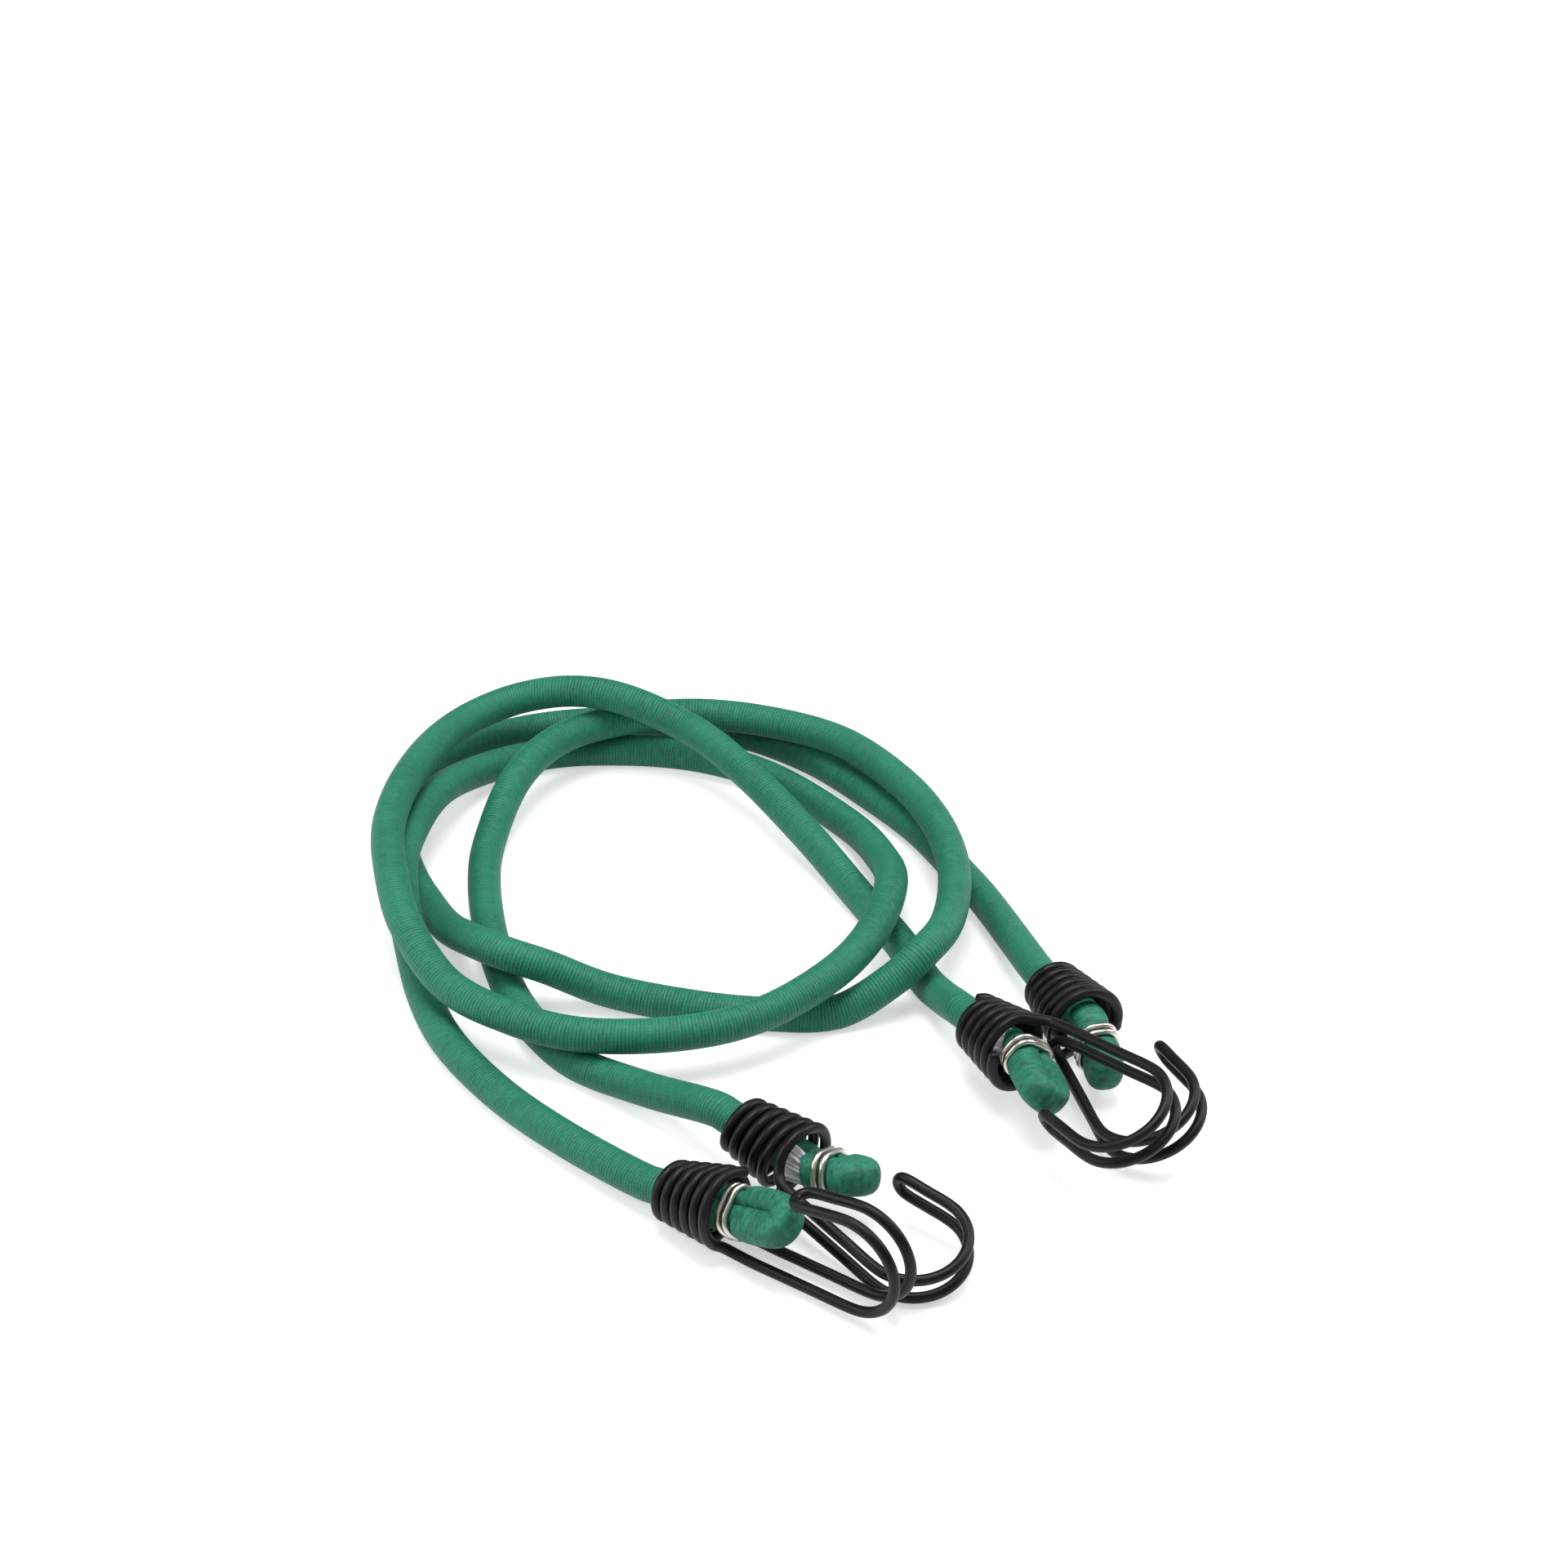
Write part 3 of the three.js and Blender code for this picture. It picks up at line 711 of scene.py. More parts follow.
class ShaderKit:
    """Node groups that several materials share, and the materials built from them."""

    def __init__(self) -> None:
        """Builds the two shared groups and the five materials."""
        self.mottle = self._mottle_group()
        self.weave = self._weave_group()
        self.braid = self._braid("green_braid", BRAID)
        self.end_braid = self._braid("green_braid_end", END_BRAID)
        self.coat, self.steel, self.rubber = (self._mottled(finish) for finish in (COAT, STEEL, RUBBER))

    @staticmethod
    def _mottle_group() -> bpy.types.NodeTree:
        """Uneven patches and fine grain, from a place in space.

        Returns:
            A group with the outputs Patch and Grain, both from 0 to 1.
        """
        nodes = Nodes.of_group("mottle", {"Place": None, "Patch scale": 60, "Grain scale": 900},
                               [output.value for output in Mottle])
        start, end = nodes.tree.nodes["in"].outputs, nodes.tree.nodes["out"].inputs
        for output, detail in ((Mottle.PATCH, 3.0), (Mottle.GRAIN, 5.0)):
            scale = start[f"{output.value} scale"]
            noise = nodes.add("TexNoise", Vector=start["Place"], Scale=scale, Detail=detail, Roughness=0.6)
            nodes.feed(noise.outputs[0], end[output.value])
        return nodes.tree

    @staticmethod
    def _weave_group() -> bpy.types.NodeTree:
        """Ribs across a cord, each a row of slanting stitches set off from the next row's.

        Returns:
            A group with two outputs from 0 to 1: Height, and the mask that puts painted shade in the grooves.
        """
        crown_power, yarn_depth, stitch_lean, streak_turns = 0.6, 0.16, 0.55, 1.7
        nodes = Nodes.of_group("rib_weave", {"Along": None, "Rib": 1, "Stitches": 24, "Fray": 0},
                               ["Height", "Groove_shade"])
        calc = nodes.calc
        start, end = nodes.tree.nodes["in"].outputs, nodes.tree.nodes["out"].inputs
        split = nodes.add("SeparateXYZ", Vector=start["Along"]).outputs
        slant = calc("ADD", calc("DIVIDE", split["Y"], start["Rib"]), split["X"])
        wave = calc("SINE", calc("MULTIPLY", slant, 2 * math.pi))
        crown = calc("POWER", calc("MULTIPLY_ADD", wave, 0.5, 0.5), crown_power)
        row = calc("FLOOR", calc("ADD", slant, 0.25))
        offset = calc("MULTIPLY_ADD", row, 0.5, calc("MULTIPLY", split["X"], start["Stitches"]))
        lean = calc("MULTIPLY_ADD", slant, stitch_lean, offset)
        stitch = calc("SINE", calc("MULTIPLY", lean, 2 * math.pi))
        ribbed = calc("MULTIPLY", crown, calc("MULTIPLY_ADD", stitch, yarn_depth, 1 - yarn_depth))
        angle = calc("MULTIPLY", split["X"], 2 * math.pi)
        x, y = (calc("MULTIPLY", calc(wave_form, angle), streak_turns) for wave_form in ("COSINE", "SINE"))
        round_cord = nodes.add("CombineXYZ", X=x, Y=y, Z=slant).outputs[0]
        streak = nodes.add("TexNoise", Vector=round_cord, Scale=1.0, Detail=3.0).outputs[0]
        change = calc("SUBTRACT", nodes.spread(streak, 0.1, 1.0), ribbed)
        height = calc("MULTIPLY_ADD", change, start["Fray"], ribbed)
        nodes.feed(height, end["Height"])
        # Where the relief is low, the braid gets painted shade.
        nodes.feed(calc("SUBTRACT", 1.0, height), end["Groove_shade"])
        return nodes.tree

    @staticmethod
    def _material(name: str, settings: Sequence[tuple[str, object]]) -> tuple[Material, Nodes]:
        """Starts a material.

        Args:
            name: the material's name.
            settings: plain values of its main shader.

        Returns:
            The material and its nodes.
        """
        material = bpy.data.materials.new(name)
        material.use_nodes = True
        nodes = Nodes(material.node_tree)
        for label, value in settings:
            nodes.feed(value, material.node_tree.nodes["Principled BSDF"].inputs[label])
        return material, nodes

    @staticmethod
    def _shade(nodes: Nodes, colour: Socket, roughness: Socket, normal: Socket) -> None:
        """Feeds a material's main shader.

        Args:
            nodes: the material's nodes.
            colour: its colour.
            roughness: its roughness.
            normal: its relief.
        """
        shader = nodes.tree.nodes["Principled BSDF"]
        for label, socket in (("Base Color", colour), ("Roughness", roughness), ("Normal", normal)):
            nodes.feed(socket, shader.inputs[label])

    def _braid(self, name: str, finish: BraidFinish) -> Material:
        """The ribbed cord sleeve, with painted shade in its grooves.

        Args:
            name: the material's name.
            finish: its colours and rib size.

        Returns:
            The material.
        """
        most_faded, most_specks, grain_relief, shown = 0.35, 0.30, 0.35, 0.9
        material, nodes = self._material(name, (
            ("Sheen Weight", finish.sheen[0]), ("Sheen Roughness", finish.sheen[1]),
            ("Sheen Tint", finish.sheen_tint), ("Specular IOR Level", finish.specular),
        ))
        weave = nodes.add(self.weave, Along=nodes.uv(), Rib=finish.rib_mm, Stitches=finish.stitches,
                          Fray=finish.fray).outputs
        mottle = nodes.add(self.mottle, Place=nodes.place(), Patch_scale=finish.patches,
                           Grain_scale=finish.fuzz).outputs
        grain = mottle["Grain"]
        # The ribs' colour, with painted shade in the grooves between them.
        ribs = nodes.mix(nodes.spread(weave["Groove_shade"], 0.0, 1.0, 0.15, 1.0), finish.lit, finish.groove_shade)
        patched = nodes.mix(nodes.spread(mottle["Patch"], 0.0, most_faded), ribs, finish.faded)
        colour = nodes.mix(nodes.spread(grain, 0.0, most_specks, 0.45, 0.75), patched, finish.speck)
        relief = nodes.calc("MULTIPLY_ADD", grain, grain_relief, weave["Height"])
        self._shade(nodes, colour, nodes.spread(grain, *finish.roughness),
                    nodes.bump(relief, finish.depth_mm, shown))
        return material

    def _mottled(self, finish: MottledFinish) -> Material:
        """A finish of two mottled colours.

        Args:
            finish: its colours, roughness and relief.

        Returns:
            The material.
        """
        material, nodes = self._material(finish.name, finish.settings)
        if finish.drawn is None:
            place = nodes.place()
        else:
            place = nodes.add("Mapping", Vector=nodes.uv(), Scale=finish.drawn).outputs[0]
        patch, grain = finish.scales
        mottle = nodes.add(self.mottle, Place=place, Patch_scale=patch, Grain_scale=grain).outputs
        share = nodes.spread(mottle[finish.spread_by.value], *finish.spread)
        roughness = nodes.spread(mottle[finish.rough_by.value], *finish.roughness)
        self._shade(nodes, nodes.mix(share, finish.base, finish.second), roughness,
                    nodes.bump(mottle["Grain"], *finish.relief))
        return material


@dataclass
class Hook:
    """The hook: one wire from its coil down the shank, round the bend, back and round the mouth.

    Lengths are in millimetres and angles in degrees.
    """

    end: End
    shaders: ShaderKit
    wire: float = 2.5
    turns: int = 5
    turn_gap: float = 0.55
    cord_gap: float = 0.45
    flare: float = 2.4  # how much further the mouth is from the axis than the narrow end
    tail_gap: float = 1.5  # from the narrow end to where the tail begins to stretch
    rim_out: float = 0.3  # how far the returning wire lies outside the mouth
    drop: float = 0.7  # from the mouth to the shank
    tilt: float = 8.5  # of the shank, off the axis
    shank: float = 34.0
    bend: float = 11.7  # its radius
    bend_turn: float = 190.0
    tip: float = 10.5
    spread: float = 6.4  # between the legs at the mouth
    tip_spread: float = 5.4  # between them at the tip
    start: float = -30.0  # where the coil's last turn ends
    leave: tuple[float, float] = (0.62, -52.0)  # how far out, in wires, and where the wire leaves the coil
    legs_from: tuple[float, float] = (1.45, 1.5)  # where the two legs begin, in wires
    steps: int = 24  # in a turn
    dense: int = 4  # rings from step to step
    sides: int = 16  # of the wire
    shank_stops: tuple[float, ...] = (0.235, 0.47, 0.735, 1.0)  # shares of its length
    tip_stops: tuple[float, ...] = (0.85, 0.5, 0.0, -0.5, -0.85)  # across its round end, in half spreads
    # How far out, in wires, and where round the mouth
    rim_stops: tuple[tuple[float, float], ...] = (
        (0.78, 236), (0.52, 216), (0.46, 196), (0.52, 174), (0.6, 150), (0.68, 126), (0.78, 100), (0.88, 74),
        (0.98, 48),
    )

    @property
    def coil_length(self) -> float:
        """Length of the coil along its axis."""
        return self.turns * (self.wire + self.turn_gap)

    @property
    def coil_back(self) -> float:
        """From the mouth back to where the tail begins to stretch."""
        return self.coil_length + self.wire / 2 + self.tail_gap

    @property
    def narrow(self) -> float:
        """Radius of the coil's narrow end, to the wire's middle."""
        return CORD_D / 2 + self.cord_gap + self.wire / 2

    @property
    def wide(self) -> float:
        """Radius of its mouth."""
        return self.narrow + self.flare

    @property
    def shank_drop(self) -> float:
        """From the coil's axis to the shank, at the mouth."""
        return self.wide + self.drop

    def build(self) -> Piece:
        """Makes the piece.

        Returns:
            The hook.
        """
        along = self.end.axis
        side = turned(unit(np.cross(UP, along)), along, self.end.roll)
        high = np.cross(along, side)
        points = [self.end.mouth + along * x + side * y + high * z for x, y, z in self._points()]
        line = smooth_line(points, self.dense)
        tube = Tube.wire(f"{self.end.label}_hook_wire", line, along, self.wire, self.sides, Cap.ROUND)
        return tube.build(self.shaders.coat, Slot.HOOK)

    def _coil(self) -> list[Point]:
        """Winds the coil, from its narrow end to the mouth.

        Returns:
            Its points, millimetres: x out of the mouth, y across the two legs.
        """
        count = self.turns * self.steps
        points = []
        for i in range(count + 1):
            t = i / count
            angle = math.radians(self.start) + 2 * math.pi * self.turns * (1 - t)
            r = self.narrow + (self.wide - self.narrow) * t
            points.append((-self.coil_length * (1 - t), r * math.cos(angle), r * math.sin(angle)))
        return points

    def _leg(self) -> tuple[list[tuple[float, float]], tuple[float, float]]:
        """Draws a leg from the mouth round the bend to its tip, seen from the side.

        Returns:
            Its points, out of the mouth and upwards, and the direction in which it ends.
        """
        tilt, steps = math.radians(self.tilt), self.steps // 2
        leg = []
        for share in self.shank_stops:
            s = share * self.shank
            leg.append((s * math.cos(tilt), -self.shank_drop - s * math.sin(tilt)))
        centre_x = leg[-1][0] + self.bend * math.sin(tilt)
        centre_z = leg[-1][1] + self.bend * math.cos(tilt)
        angle = 0.0
        for i in range(1, steps + 1):
            angle = -math.pi / 2 - tilt + math.radians(self.bend_turn) * i / steps
            leg.append((centre_x + self.bend * math.cos(angle), centre_z + self.bend * math.sin(angle)))
        back = (-math.sin(angle), math.cos(angle))
        last = leg[-1]
        for share in (0.5, 1.0):
            leg.append((last[0] + back[0] * self.tip * share, last[1] + back[1] * self.tip * share))
        return leg, back

    def _rim(self, x: float, radius: float, degrees: float) -> Point:
        """Gives a place round the coil's mouth, x wires out of it."""
        angle = math.radians(degrees)
        return (x * self.wire, radius * math.cos(angle), radius * math.sin(angle))

    def _points(self) -> list[Point]:
        """Draws the whole wire in the frame of its coil.

        Returns:
            Its points, millimetres: x out of the mouth, y across the two legs.
        """
        leg, back = self._leg()
        narrowing = (self.tip_spread - self.spread) / (len(leg) - 1)
        half = [(self.spread + narrowing * i) / 2 for i in range(len(leg))]
        turn_in = self.rim_out * 0.6
        leg_in = self.spread / 2 + turn_in
        leg_down = -self.shank_drop - turn_in / 2
        points = self._coil()
        out, degrees = self.leave
        points.append(self._rim(out, self.wide + turn_in, degrees))
        points.append((self.legs_from[0] * self.wire, leg_in, leg_down))
        points += [(x, h, z) for (x, z), h in zip(leg, half)]
        tip_x, tip_z = leg[-1]
        for across in self.tip_stops:
            out = self.tip_spread / 2 * math.sqrt(1 - across * across)
            points.append((tip_x + back[0] * out, across * self.tip_spread / 2, tip_z + back[1] * out))
        points += [(x, -h, z) for (x, z), h in zip(reversed(leg), reversed(half))]
        points.append((self.legs_from[1] * self.wire, -leg_in, leg_down))
        points += [self._rim(x, self.wide + self.rim_out, degrees) for x, degrees in self.rim_stops]
        return points


@dataclass
class Clip:
    """The wire clip round the folded end.

    Lengths are in millimetres.
    """

    end: End
    shaders: ShaderKit
    wire: float = 1.4
    turns: int = 2
    turn_gap: float = 0.6
    gap: float = 0.55  # from the CAD cord to the wire
    press: float = 0.7  # what it leaves of the fold's width
    press_thick: float = 0.82  # and of its thickness
    corner: float = 0.8  # how round it is, as a share of its half thickness
    steps: int = 32  # in a turn
    dense: int = 3  # rings from step to step
    sides: int = 14  # of the wire

    @property
    def pitch(self) -> float:
        """How far it moves on in one turn."""
        return self.wire + self.turn_gap

    @property
    def inner_wide(self) -> float:
        """Half its inner width, from leg to leg of the fold."""
        return 2 * FOLD_FLAT * self.press + FOLD_CREASE / 2 + self.gap

    @property
    def inner_thick(self) -> float:
        """Half its inner thickness."""
        return CORD_FLAT * self.press_thick + self.gap

    def build(self) -> Piece:
        """Makes the piece, with the wire's ends turned away from the viewer.

        Returns:
            The clip.
        """
        out, wide, thick = self.end.fold_axes()
        half_wide, half_thick = self.inner_wide + self.wire / 2, self.inner_thick + self.wire / 2
        away = math.atan2(-np.dot(VIEWER, thick), -np.dot(VIEWER, wide))
        notch = math.radians(30)
        first = round(away / notch) * notch
        corner = half_thick * self.corner
        points = []
        for i in range(self.turns * self.steps + 1):
            angle = first + 2 * math.pi * i / self.steps
            across, through = (
                math.copysign(half - corner, share) + corner * share if abs(share) > 1e-9 else 0.0
                for half, share in ((half_wide, math.cos(angle)), (half_thick, math.sin(angle)))
            )
            along = self.end.clip + self.pitch * i / self.steps
            points.append(self.end.on_fold(along, across) + thick * through)
        line = smooth_line(points, self.dense)
        tube = Tube.wire(f"{self.end.label}_clip_wire", line, out, self.wire, self.sides, Cap.FLAT)
        return tube.build(self.shaders.steel, Slot.CLIP)


@dataclass
class FoldedEnd:
    """The cord where it comes through the coil, doubles back and is cut off.

    Lengths are in millimetres.
    """

    end: End
    hook: Hook
    clip: Clip
    shaders: ShaderKit
    thick: float = 3.85  # half its thickness
    full: float = 2.5  # how square the bend's outline is; 2 is an ellipse
    held_full: float = 2.2  # the same in the coil and the clip
    crease_closed: float = 0.8  # how far the soft legs press into each other
    crease_off: float = 0.8  # how far the crease lies off the middle, for the returning leg is the looser one
    straight: float = 15.4  # from the mouth to where it bends
    mouth_press: float = 0.9  # what the mouth leaves of its width
    cut_show: float = 4.1  # from the cut to the clip
    sleeve_back: float = 1.2  # how far the soft sleeve has drawn back from the cut
    core_shows: float = 3.4  # length of the rubber that stands out of the CAD sleeve
    tail_past: float = 2.5  # from the rubber's end to where the cord's own tail stops
    deep: float = 0.8  # share of the coil that it fills
    under_tail: float = 0.15  # how much thinner it is than the tail over it
    dense: int = 8  # rings from stop to stop

    @property
    def cut(self) -> float:
        """Where the returning leg's sleeve ends, from the coil's mouth."""
        return self.end.clip - self.cut_show + self.sleeve_back

    @property
    def rubber_end(self) -> float:
        """Where the rubber that stands out of it ends."""
        return self.end.clip - self.cut_show - self.core_shows

    @property
    def tail_end(self) -> float:
        """Where the cord's own tail stops inside the coil."""
        return self.rubber_end - self.tail_past

    @property
    def free_wide(self) -> float:
        """Half its width where nothing presses it."""
        return 2 * (FOLD_FLAT + FOLD_CREASE / 2)

    def build(self) -> Piece:
        """Makes the piece.

        Returns:
            The fold.
        """
        stops = self._coil_stops() + self._leg_stops(-1.0) + self._bend_stops() + self._leg_stops(1.0)[::-1]
        line = smooth_line([stop[0] for stop in stops], self.dense)
        at = np.arange(len(line)) / self.dense
        stop_at = np.arange(len(stops))
        wide, thick, full = (np.interp(at, stop_at, [stop[k] for stop in stops]) for k in (1, 2, 3))
        tube = Tube(f"{self.end.label}_fold_braid", line, carried_frames(line, self.end.fold_axes()[1]),
                    lambda i: rounded(wide[i], thick[i], CORD_SIDES, full[i]), lengths_along(line),
                    (Cap.FLAT, Cap.CUT_SLEEVE))
        return tube.build(self.shaders.end_braid, Slot.SLEEVE)

    def _coil_stops(self) -> list[Stop]:
        """Lists the stops inside the coil, where it moves aside for the returning leg.

        Returns:
            The place, half width, half thickness and squareness of each.
        """
        deep = -self.hook.coil_length * self.deep
        hidden = CORD_R - self.under_tail
        stops = []
        for way, aside, width, thick in ((0.0, 0.08, 1.0, hidden), (0.55, 0.42, 0.92, hidden),
                                         (1.0, 0.84, 0.8, self.thick)):
            place = self.end.inside(deep + (self.rubber_end - deep) * way, -self.free_wide / 2 * aside)
            stops.append((place, hidden * width, thick, self.held_full))
        return stops

    def _share(self, side: float, wide: float) -> tuple[float, float]:
        """Gives the middle and half width of a leg, by its side and half the width of both legs."""
        inner = -self.crease_off - side * self.crease_closed
        return (side * wide + inner) / 2, abs(side * wide - inner) / 2

    def _leg_stops(self, side: float) -> list[Stop]:
        """Lists the stops of one leg.

        Args:
            side: -1 for the leg that comes out of the coil, 1 for the returning one.

        Returns:
            Its stops, from the mouth outwards.
        """
        end, clip = self.end, self.clip
        margin, let_out = clip.wire * 0.6, 2.6
        clip_end = end.clip + clip.pitch * clip.turns
        pressed = 2 * FOLD_FLAT * self.mouth_press + FOLD_CREASE / 2
        stops = []
        for place, along, wide, thick, full in (
            (end.inside, self.cut, pressed, self.thick, self.held_full),
            (end.on_fold, end.clip - margin, clip.inner_wide, clip.inner_thick, self.held_full),
            (end.on_fold, clip_end + margin, clip.inner_wide, clip.inner_thick, self.held_full),
            (end.on_fold, clip_end + margin * let_out, self.free_wide, self.thick, self.full),
            (end.on_fold, self.straight, self.free_wide, self.thick, self.full),
        ):
            middle, half = self._share(side, wide)
            stops.append((place(along, middle), half, thick, full))
        return stops

    def _bend_stops(self) -> list[Stop]:
        """Lists the stops of the bend between the legs.

        Returns:
            Its stops, from the first leg to the returning one.
        """
        (first, first_half), (last, last_half) = (self._share(side, self.free_wide) for side in (-1.0, 1.0))
        stops = []
        for degrees in (-60, -30, 0, 30, 60):
            a = math.radians(degrees)
            share = (1 + math.sin(a)) / 2
            along = self.straight + (last - first) / 2 * math.cos(a)
            place = self.end.on_fold(along, first + (last - first) * share)
            stops.append((place, first_half + (last_half - first_half) * share, self.thick, self.full))
        return stops


@dataclass
class CoreStrands:
    """The bundle of rubber strands that shows where the returning leg is cut off.

    Lengths are in millimetres.
    """

    fold: FoldedEnd
    shaders: ShaderKit
    half_wide: float = 2.35  # of the bundle, from leg to leg
    half_thick: float = 3.45
    strand: float = 0.40  # half a strand's thickness
    swell: float = 1.04  # how much thicker a strand is drawn
    pitch: tuple[float, float] = (1.9, 1.65)  # across and from row to row, in half thicknesses
    rows: int = 6  # on each side of the middle one
    columns: int = 4  # on each side of a row's middle
    gathered: float = 0.78  # how much narrower the bundle is inside the sleeve
    splay: float = 1.18  # how much wider it is at the cut
    uneven: float = 0.16  # how much shorter the shortest strand is
    lean: float = 0.3  # how far they lean out of line
    root: float = 1.2  # how far they reach into the sleeve
    sides: int = 8  # of a strand
    rounding: float = 0.35  # of its cut end, as a share of its half thickness
    seed: int = 7

    def build(self) -> Piece:
        """Makes the piece.

        Returns:
            The strands.
        """
        end, cut = self.fold.end, self.fold.cut
        middle = end.inside(cut, FOLD_FLAT * self.fold.mouth_press)
        wide = unit(end.inside(cut, 1.0) - end.inside(cut, 0.0))
        thick = np.cross(end.axis, wide)
        bm = bmesh.new()
        rng = np.random.default_rng(self.seed)
        for row in range(-self.rows, self.rows + 1):
            for column in range(-self.columns, self.columns + 1):
                a = (column + 0.5 * (row % 2)) * self.strand * self.pitch[0]
                b = row * self.strand * self.pitch[1]
                if (a / self.half_wide) ** 2 + (b / self.half_thick) ** 2 > 1.0:
                    continue
                length = (cut - self.fold.rubber_end) * (1 - self.uneven + self.uneven * rng.random())
                lean = (rng.random(2) - 0.5) * self.lean
                foot = middle + (wide * a + thick * b) * self.gathered + end.axis * self.root
                tip = middle + wide * (a * self.splay + lean[0]) + thick * (b * self.splay + lean[1])
                self._add(bm, foot, tip - end.axis * length)
        for face in bm.faces:
            face.smooth = len(face.verts) == 4
        return finish_piece(f"{end.label}_core_strands", bm, self.shaders.rubber, Slot.CORE)

    def _add(self, bm: BMesh, foot: Array, tip: Array) -> None:
        """Adds one strand with a rounded cut end.

        Args:
            bm: the mesh in the making.
            foot: middle of its hidden end, millimetres.
            tip: middle of its cut end, millimetres.
        """
        radius = self.strand * self.swell * MM
        run = Vector((tip - foot) * MM)
        middle = Vector((tip + foot) / 2 * MM)
        place = Matrix.Translation(middle) @ run.to_track_quat("Z", "Y").to_matrix().to_4x4()
        verts = bmesh.ops.create_cone(bm, cap_ends=True, segments=self.sides, radius1=radius, radius2=radius,
                                      depth=run.length, matrix=place)["verts"]
        cut = {vert for vert in verts if (vert.co - middle).dot(run) > 0}
        rim = {edge for vert in cut for edge in vert.link_edges if edge.other_vert(vert) in cut}
        bmesh.ops.bevel(bm, geom=list(rim), offset=radius * self.rounding, offset_type="OFFSET", affect="EDGES",
                        segments=2, profile=0.5, material=-1)


@dataclass
class HookedEnd:
    """One end of a cord: the hook, the clip, the folded cord and its cut core."""

    end: End
    shaders: ShaderKit
    hook: Hook = field(init=False)
    clip: Clip = field(init=False)
    fold: FoldedEnd = field(init=False)
    core: CoreStrands = field(init=False)

    def __post_init__(self) -> None:
        """Sets up what it is made of."""
        self.hook = Hook(self.end, self.shaders)
        self.clip = Clip(self.end, self.shaders)
        self.fold = FoldedEnd(self.end, self.hook, self.clip, self.shaders)
        self.core = CoreStrands(self.fold, self.shaders)

    def build(self) -> list[Piece]:
        """Makes all pieces of this end and lets them ride on their bodies.

        Returns:
            The pieces.
        """
        pieces = []
        for part, body, node in ((self.fold, "end", "fold_sleeve"), (self.core, "end", "fold_core"),
                                 (self.clip, "end", "clip"), (self.hook, "hook_body", "hook")):
            piece = part.build()
            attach(piece, f"{self.end.label}_{body}")
            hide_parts(f"{self.end.label}_{node}")
            pieces.append(piece)
        return pieces


@dataclass
class ElasticCord:
    """One cord between its two hooks: the loops and a tail at each end.

    Lengths are in millimetres.
    """

    letter: str
    route: list[Point]  # before the move to the part's frame
    side: HookedEnd  # the end at the side of the picture
    front: HookedEnd
    shaders: ShaderKit
    join_gap: float = 0.4  # from the stretching tail to the folded end
    lead: float = 3.0  # how far it leaves a coil straight
    tail: float = 42.0  # length of a tail that stretches
    ring_step: float = 1.2  # about how far apart the rings are
    blend: tuple[float, float] = (0.06, 0.97)  # shares of a tail, from its root to its coil, where two points are worked out; nothing uses them
    dense: int = 60  # steps of the middle line from point to point of the route

    def line(self) -> Array:
        """Draws the cord's middle line from coil to coil.

        Returns:
            Its points, close together, millimetres in the part's frame.
        """
        first, last = (
            [part.end.on_axis(-part.hook.coil_back - self.join_gap - lead) for lead in (0.0, self.lead)]
            for part in (self.side, self.front)
        )
        route = [np.array(p, float) + SHIFT for p in self.route]
        return smooth_line([*first, *route, *reversed(last)], self.dense)

    def build(self) -> list[Piece]:
        """Returns:
            The pieces.
        """
        line = self.line()
        far = lengths_along(line)
        total = far[-1]
        LOG.info("cord %s is %.1f mm between its coils", self.letter, total)
        parts = (self.side, self.front)
        first, last = (part.hook.coil_back + self.join_gap + part.fold.tail_end for part in parts)
        inner = [part.end.on_axis(part.fold.tail_end) for part in parts]
        whole = np.vstack([inner[0], line, inner[1]])
        loops = self._stretch("loops", whole, first + self.tail, first + total - self.tail)
        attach(loops, "cords")
        side = self._stretch("side_tail", whole, 0.0, first + self.tail)
        front = self._stretch("front_tail", whole, first + total - self.tail, first + total + last)
        for piece, part, root_at in ((side, self.side, self.tail), (front, self.front, total - self.tail)):
            root = np.array([np.interp(root_at, far, line[:, k]) for k in range(3)])
            coil = part.end.on_axis(-part.hook.coil_back)
            start, end = (tuple((root + (coil - root) * share) * MM) for share in self.blend)
            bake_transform(piece)
            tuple(start)
            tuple(end)
        return [loops, side, front]

    def _stretch(self, part: str, whole: Array, start: float, end: float) -> Piece:
        """Makes one stretch of the cord.

        Args:
            part: loops, side_tail or front_tail.
            whole: the cord's middle line.
            start: where the stretch begins, along that line.
            end: where it ends.

        Returns:
            The piece.
        """
        line, along = even_steps(whole, start, end, self.ring_step)
        circle = rounded(CORD_R, CORD_R, CORD_SIDES)
        label = f"{self.letter}_{part}"
        tube = Tube(f"{label}_braid", line, upright_frames(line), lambda _: circle, along)
        piece = tube.build(self.shaders.braid, Slot.SLEEVE, floor=True)
        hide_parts(f"{label}_sleeve", f"{label}_core")
        float(lengths_along(line)[-1]) * MM
        return piece


@dataclass(frozen=True)
class Light:
    """A round light that faces the middle of the lay.

    Lengths are in metres.
    """

    name: str
    place: Point
    size: float  # its diameter
    power: float  # watts

    def build(self) -> None:
        """Hangs the light, out of the camera's sight."""
        light = bpy.data.lights.new(self.name, "AREA")
        light.shape = "DISK"
        light.size = self.size
        light.energy = self.power
        lamp = bpy.data.objects.new(self.name, light)
        lamp.location = self.place
        lamp.visible_camera = False
        lamp.rotation_euler = (-Vector(self.place)).to_track_quat("-Z", "Y").to_euler()
        bpy.context.scene.collection.objects.link(lamp)


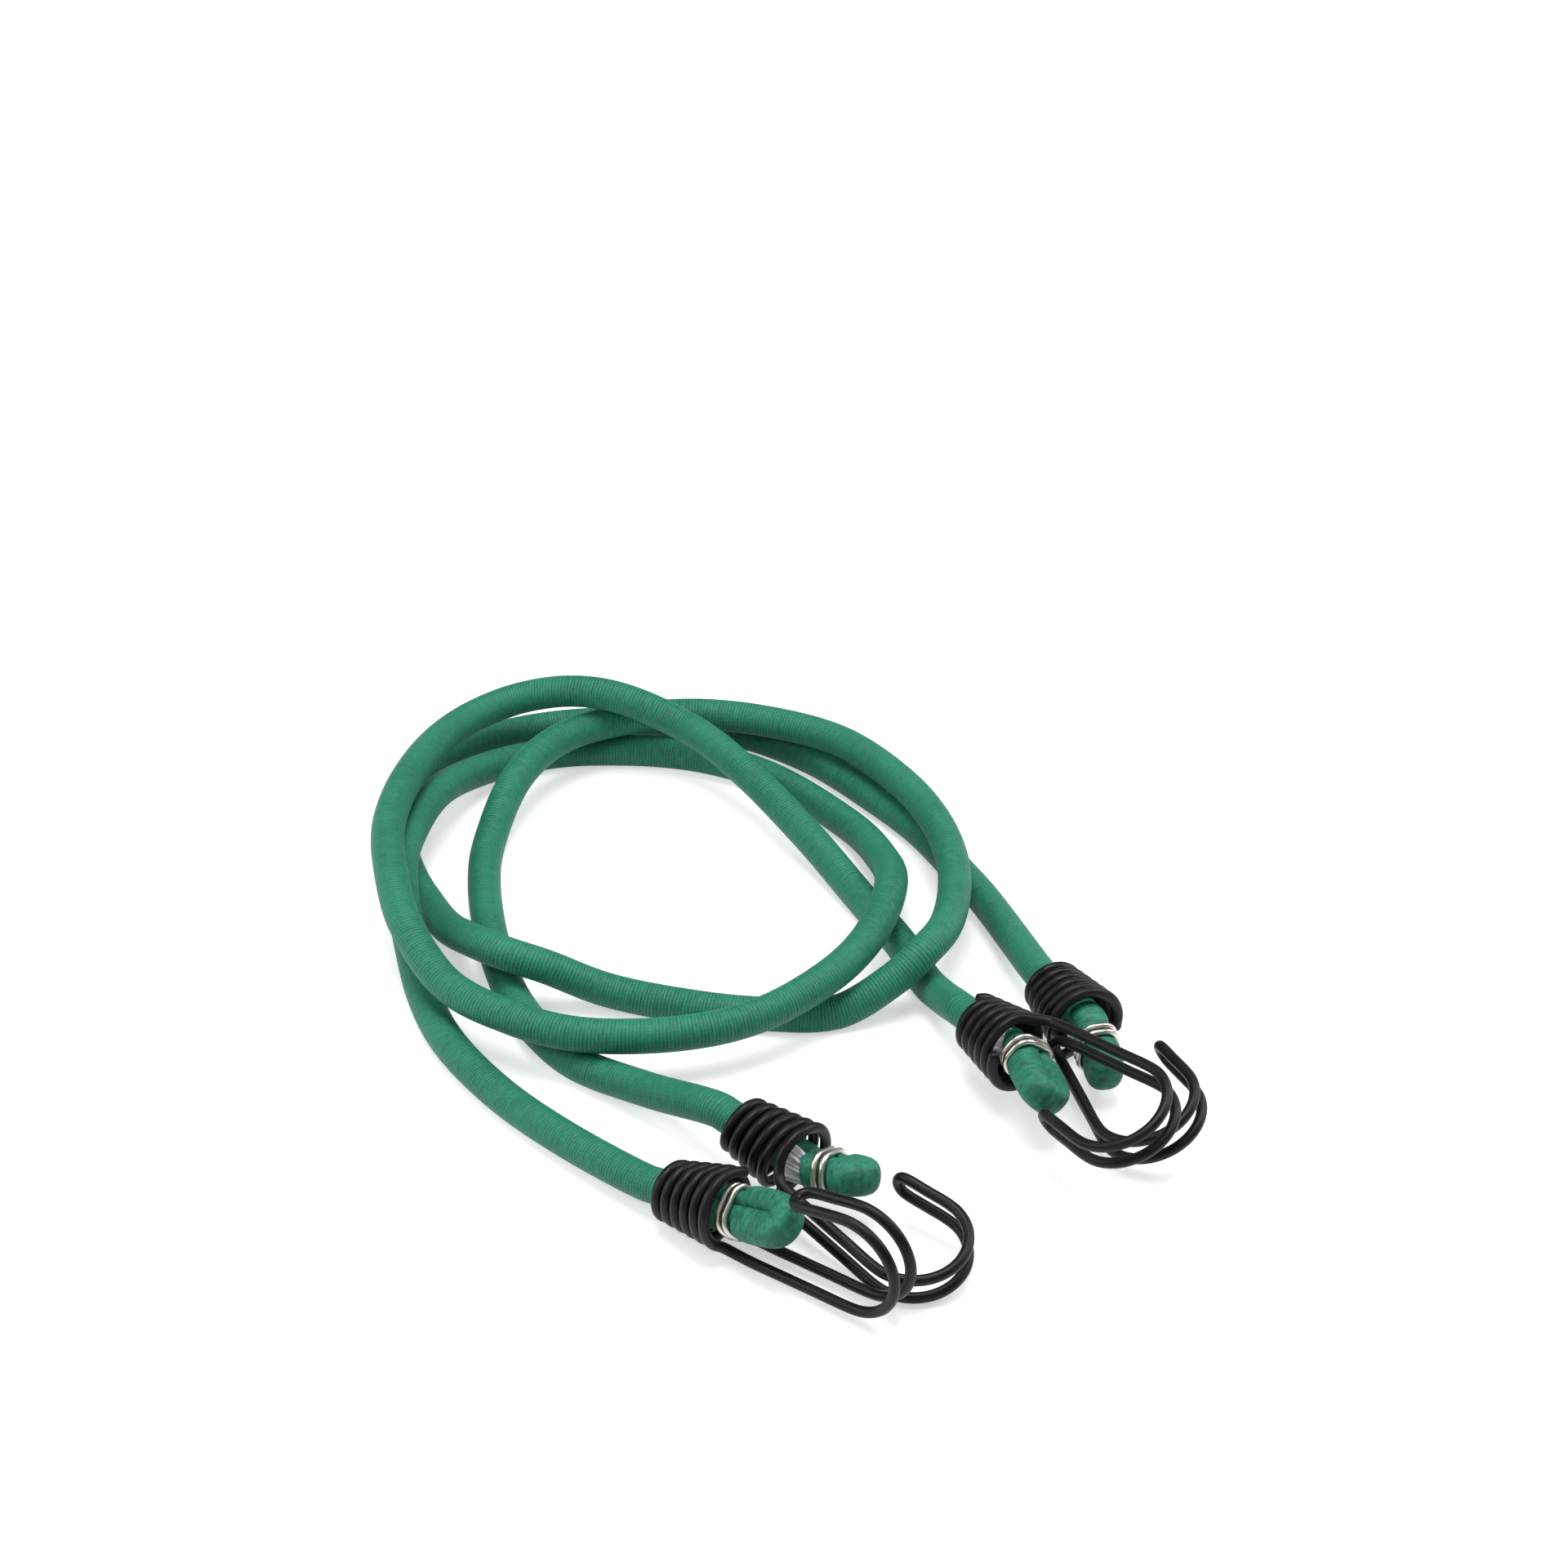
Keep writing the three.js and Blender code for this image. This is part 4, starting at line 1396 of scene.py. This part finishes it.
@dataclass
class Studio:
    """The table, the light and the camera."""

    distance: float = 0.770  # from the camera to the middle of the picture, metres
    lens: float = 75.0  # millimetres, as the sensor
    sensor: float = 36.0
    shift: tuple[float, float] = (0.0026, 0.1484)  # how far the picture's middle is off the camera's axis
    floor_size: float = 6.0  # half its width, metres
    floor_drop: float = 0.0002  # how far it lies under the part, metres
    floor_grey: float = 0.70
    floor_glow: float = 0.52  # how much paler it looks than it is lit, as in an overexposed photograph
    sky: float = 0.17  # its strength
    lights: tuple[Light, ...] = (
        Light("overhead", (0.0, 0.12, 1.20), 0.8, 12.6),
        Light("left_box", (-0.34, -0.10, 0.24), 0.3, 0.8),
        Light("right_box", (0.37, 0.10, 0.26), 0.3, 1.0),
        Light("front", (0.15, -1.0, 0.80), 0.8, 0.8),
    )

    def build(self) -> None:
        """Makes the floor, the sky, the lights and the camera."""
        self._floor()
        self._sky()
        for light in self.lights:
            light.build()
        self._camera()
        bpy.context.scene.view_settings.view_transform = "Standard"

    def _floor(self) -> None:
        """Lays a wide pale table that glows to camera, glossy and transmission rays, but gives no diffuse
        light.
        """
        bm = bmesh.new()
        bmesh.ops.create_grid(bm, x_segments=2, y_segments=2, size=self.floor_size)
        mesh = bpy.data.meshes.new("floor")
        bm.to_mesh(mesh)
        bm.free()
        material = bpy.data.materials.new("pale_floor")
        material.use_nodes = True
        nodes = Nodes(material.node_tree)
        rays = nodes.add("LightPath").outputs
        seen = nodes.calc("ADD", rays["Is Camera Ray"], rays["Is Glossy Ray"])
        seen = nodes.calc("ADD", seen, rays["Is Transmission Ray"])
        shader = material.node_tree.nodes["Principled BSDF"]
        for label, value in (
            ("Base Color", (self.floor_grey,) * 3), ("Roughness", 0.9), ("Specular IOR Level", 0.1),
            ("Emission Color", (1.0, 1.0, 1.0)),
            ("Emission Strength", nodes.calc("MULTIPLY", seen, self.floor_glow)),
        ):
            nodes.feed(value, shader.inputs[label])
        mesh.materials.append(material)
        floor = bpy.data.objects.new("floor", mesh)
        floor.location = (0.0, 0.0, -self.floor_drop)
        bpy.context.scene.collection.objects.link(floor)

    def _sky(self) -> None:
        """Puts up a plain white sky."""
        world = bpy.data.worlds.new("studio")
        world.use_nodes = True
        sky = world.node_tree.nodes["Background"]
        sky.inputs["Color"].default_value = (1.0, 1.0, 1.0, 1.0)
        sky.inputs["Strength"].default_value = self.sky
        bpy.context.scene.world = world

    def _camera(self) -> None:
        """Sets the camera at the photograph's angle."""
        data = bpy.data.cameras.new("camera")
        data.lens = self.lens
        data.sensor_width = self.sensor
        data.shift_x, data.shift_y = self.shift
        data.clip_start = 0.01
        camera = bpy.data.objects.new("camera", data)
        camera.location = Vector(SHIFT * MM) + Vector(VIEWER * self.distance)
        camera.rotation_euler = (math.radians(90 - VIEW_ELEVATION), 0.0, 0.0)
        bpy.context.scene.collection.objects.link(camera)
        bpy.context.scene.camera = camera


def main() -> None:
    """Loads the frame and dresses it."""
    logging.basicConfig(level=logging.INFO, format="%(name)s: %(message)s")
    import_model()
    shaders = ShaderKit()
    ends = {end.name: HookedEnd(end, shaders) for end in ENDS}
    cords = [
        ElasticCord("a", ROUTE_A, ends[EndName.A_SIDE], ends[EndName.A_FRONT], shaders),
        ElasticCord("b", ROUTE_B, ends[EndName.B_SIDE], ends[EndName.B_FRONT], shaders),
    ]
    for part in (*cords, *ends.values()):
        for piece in part.build():
            LOG.info("made %s, %d faces", piece.name, len(piece.data.polygons))
    Studio().build()


if __name__ == "__main__":
    main()
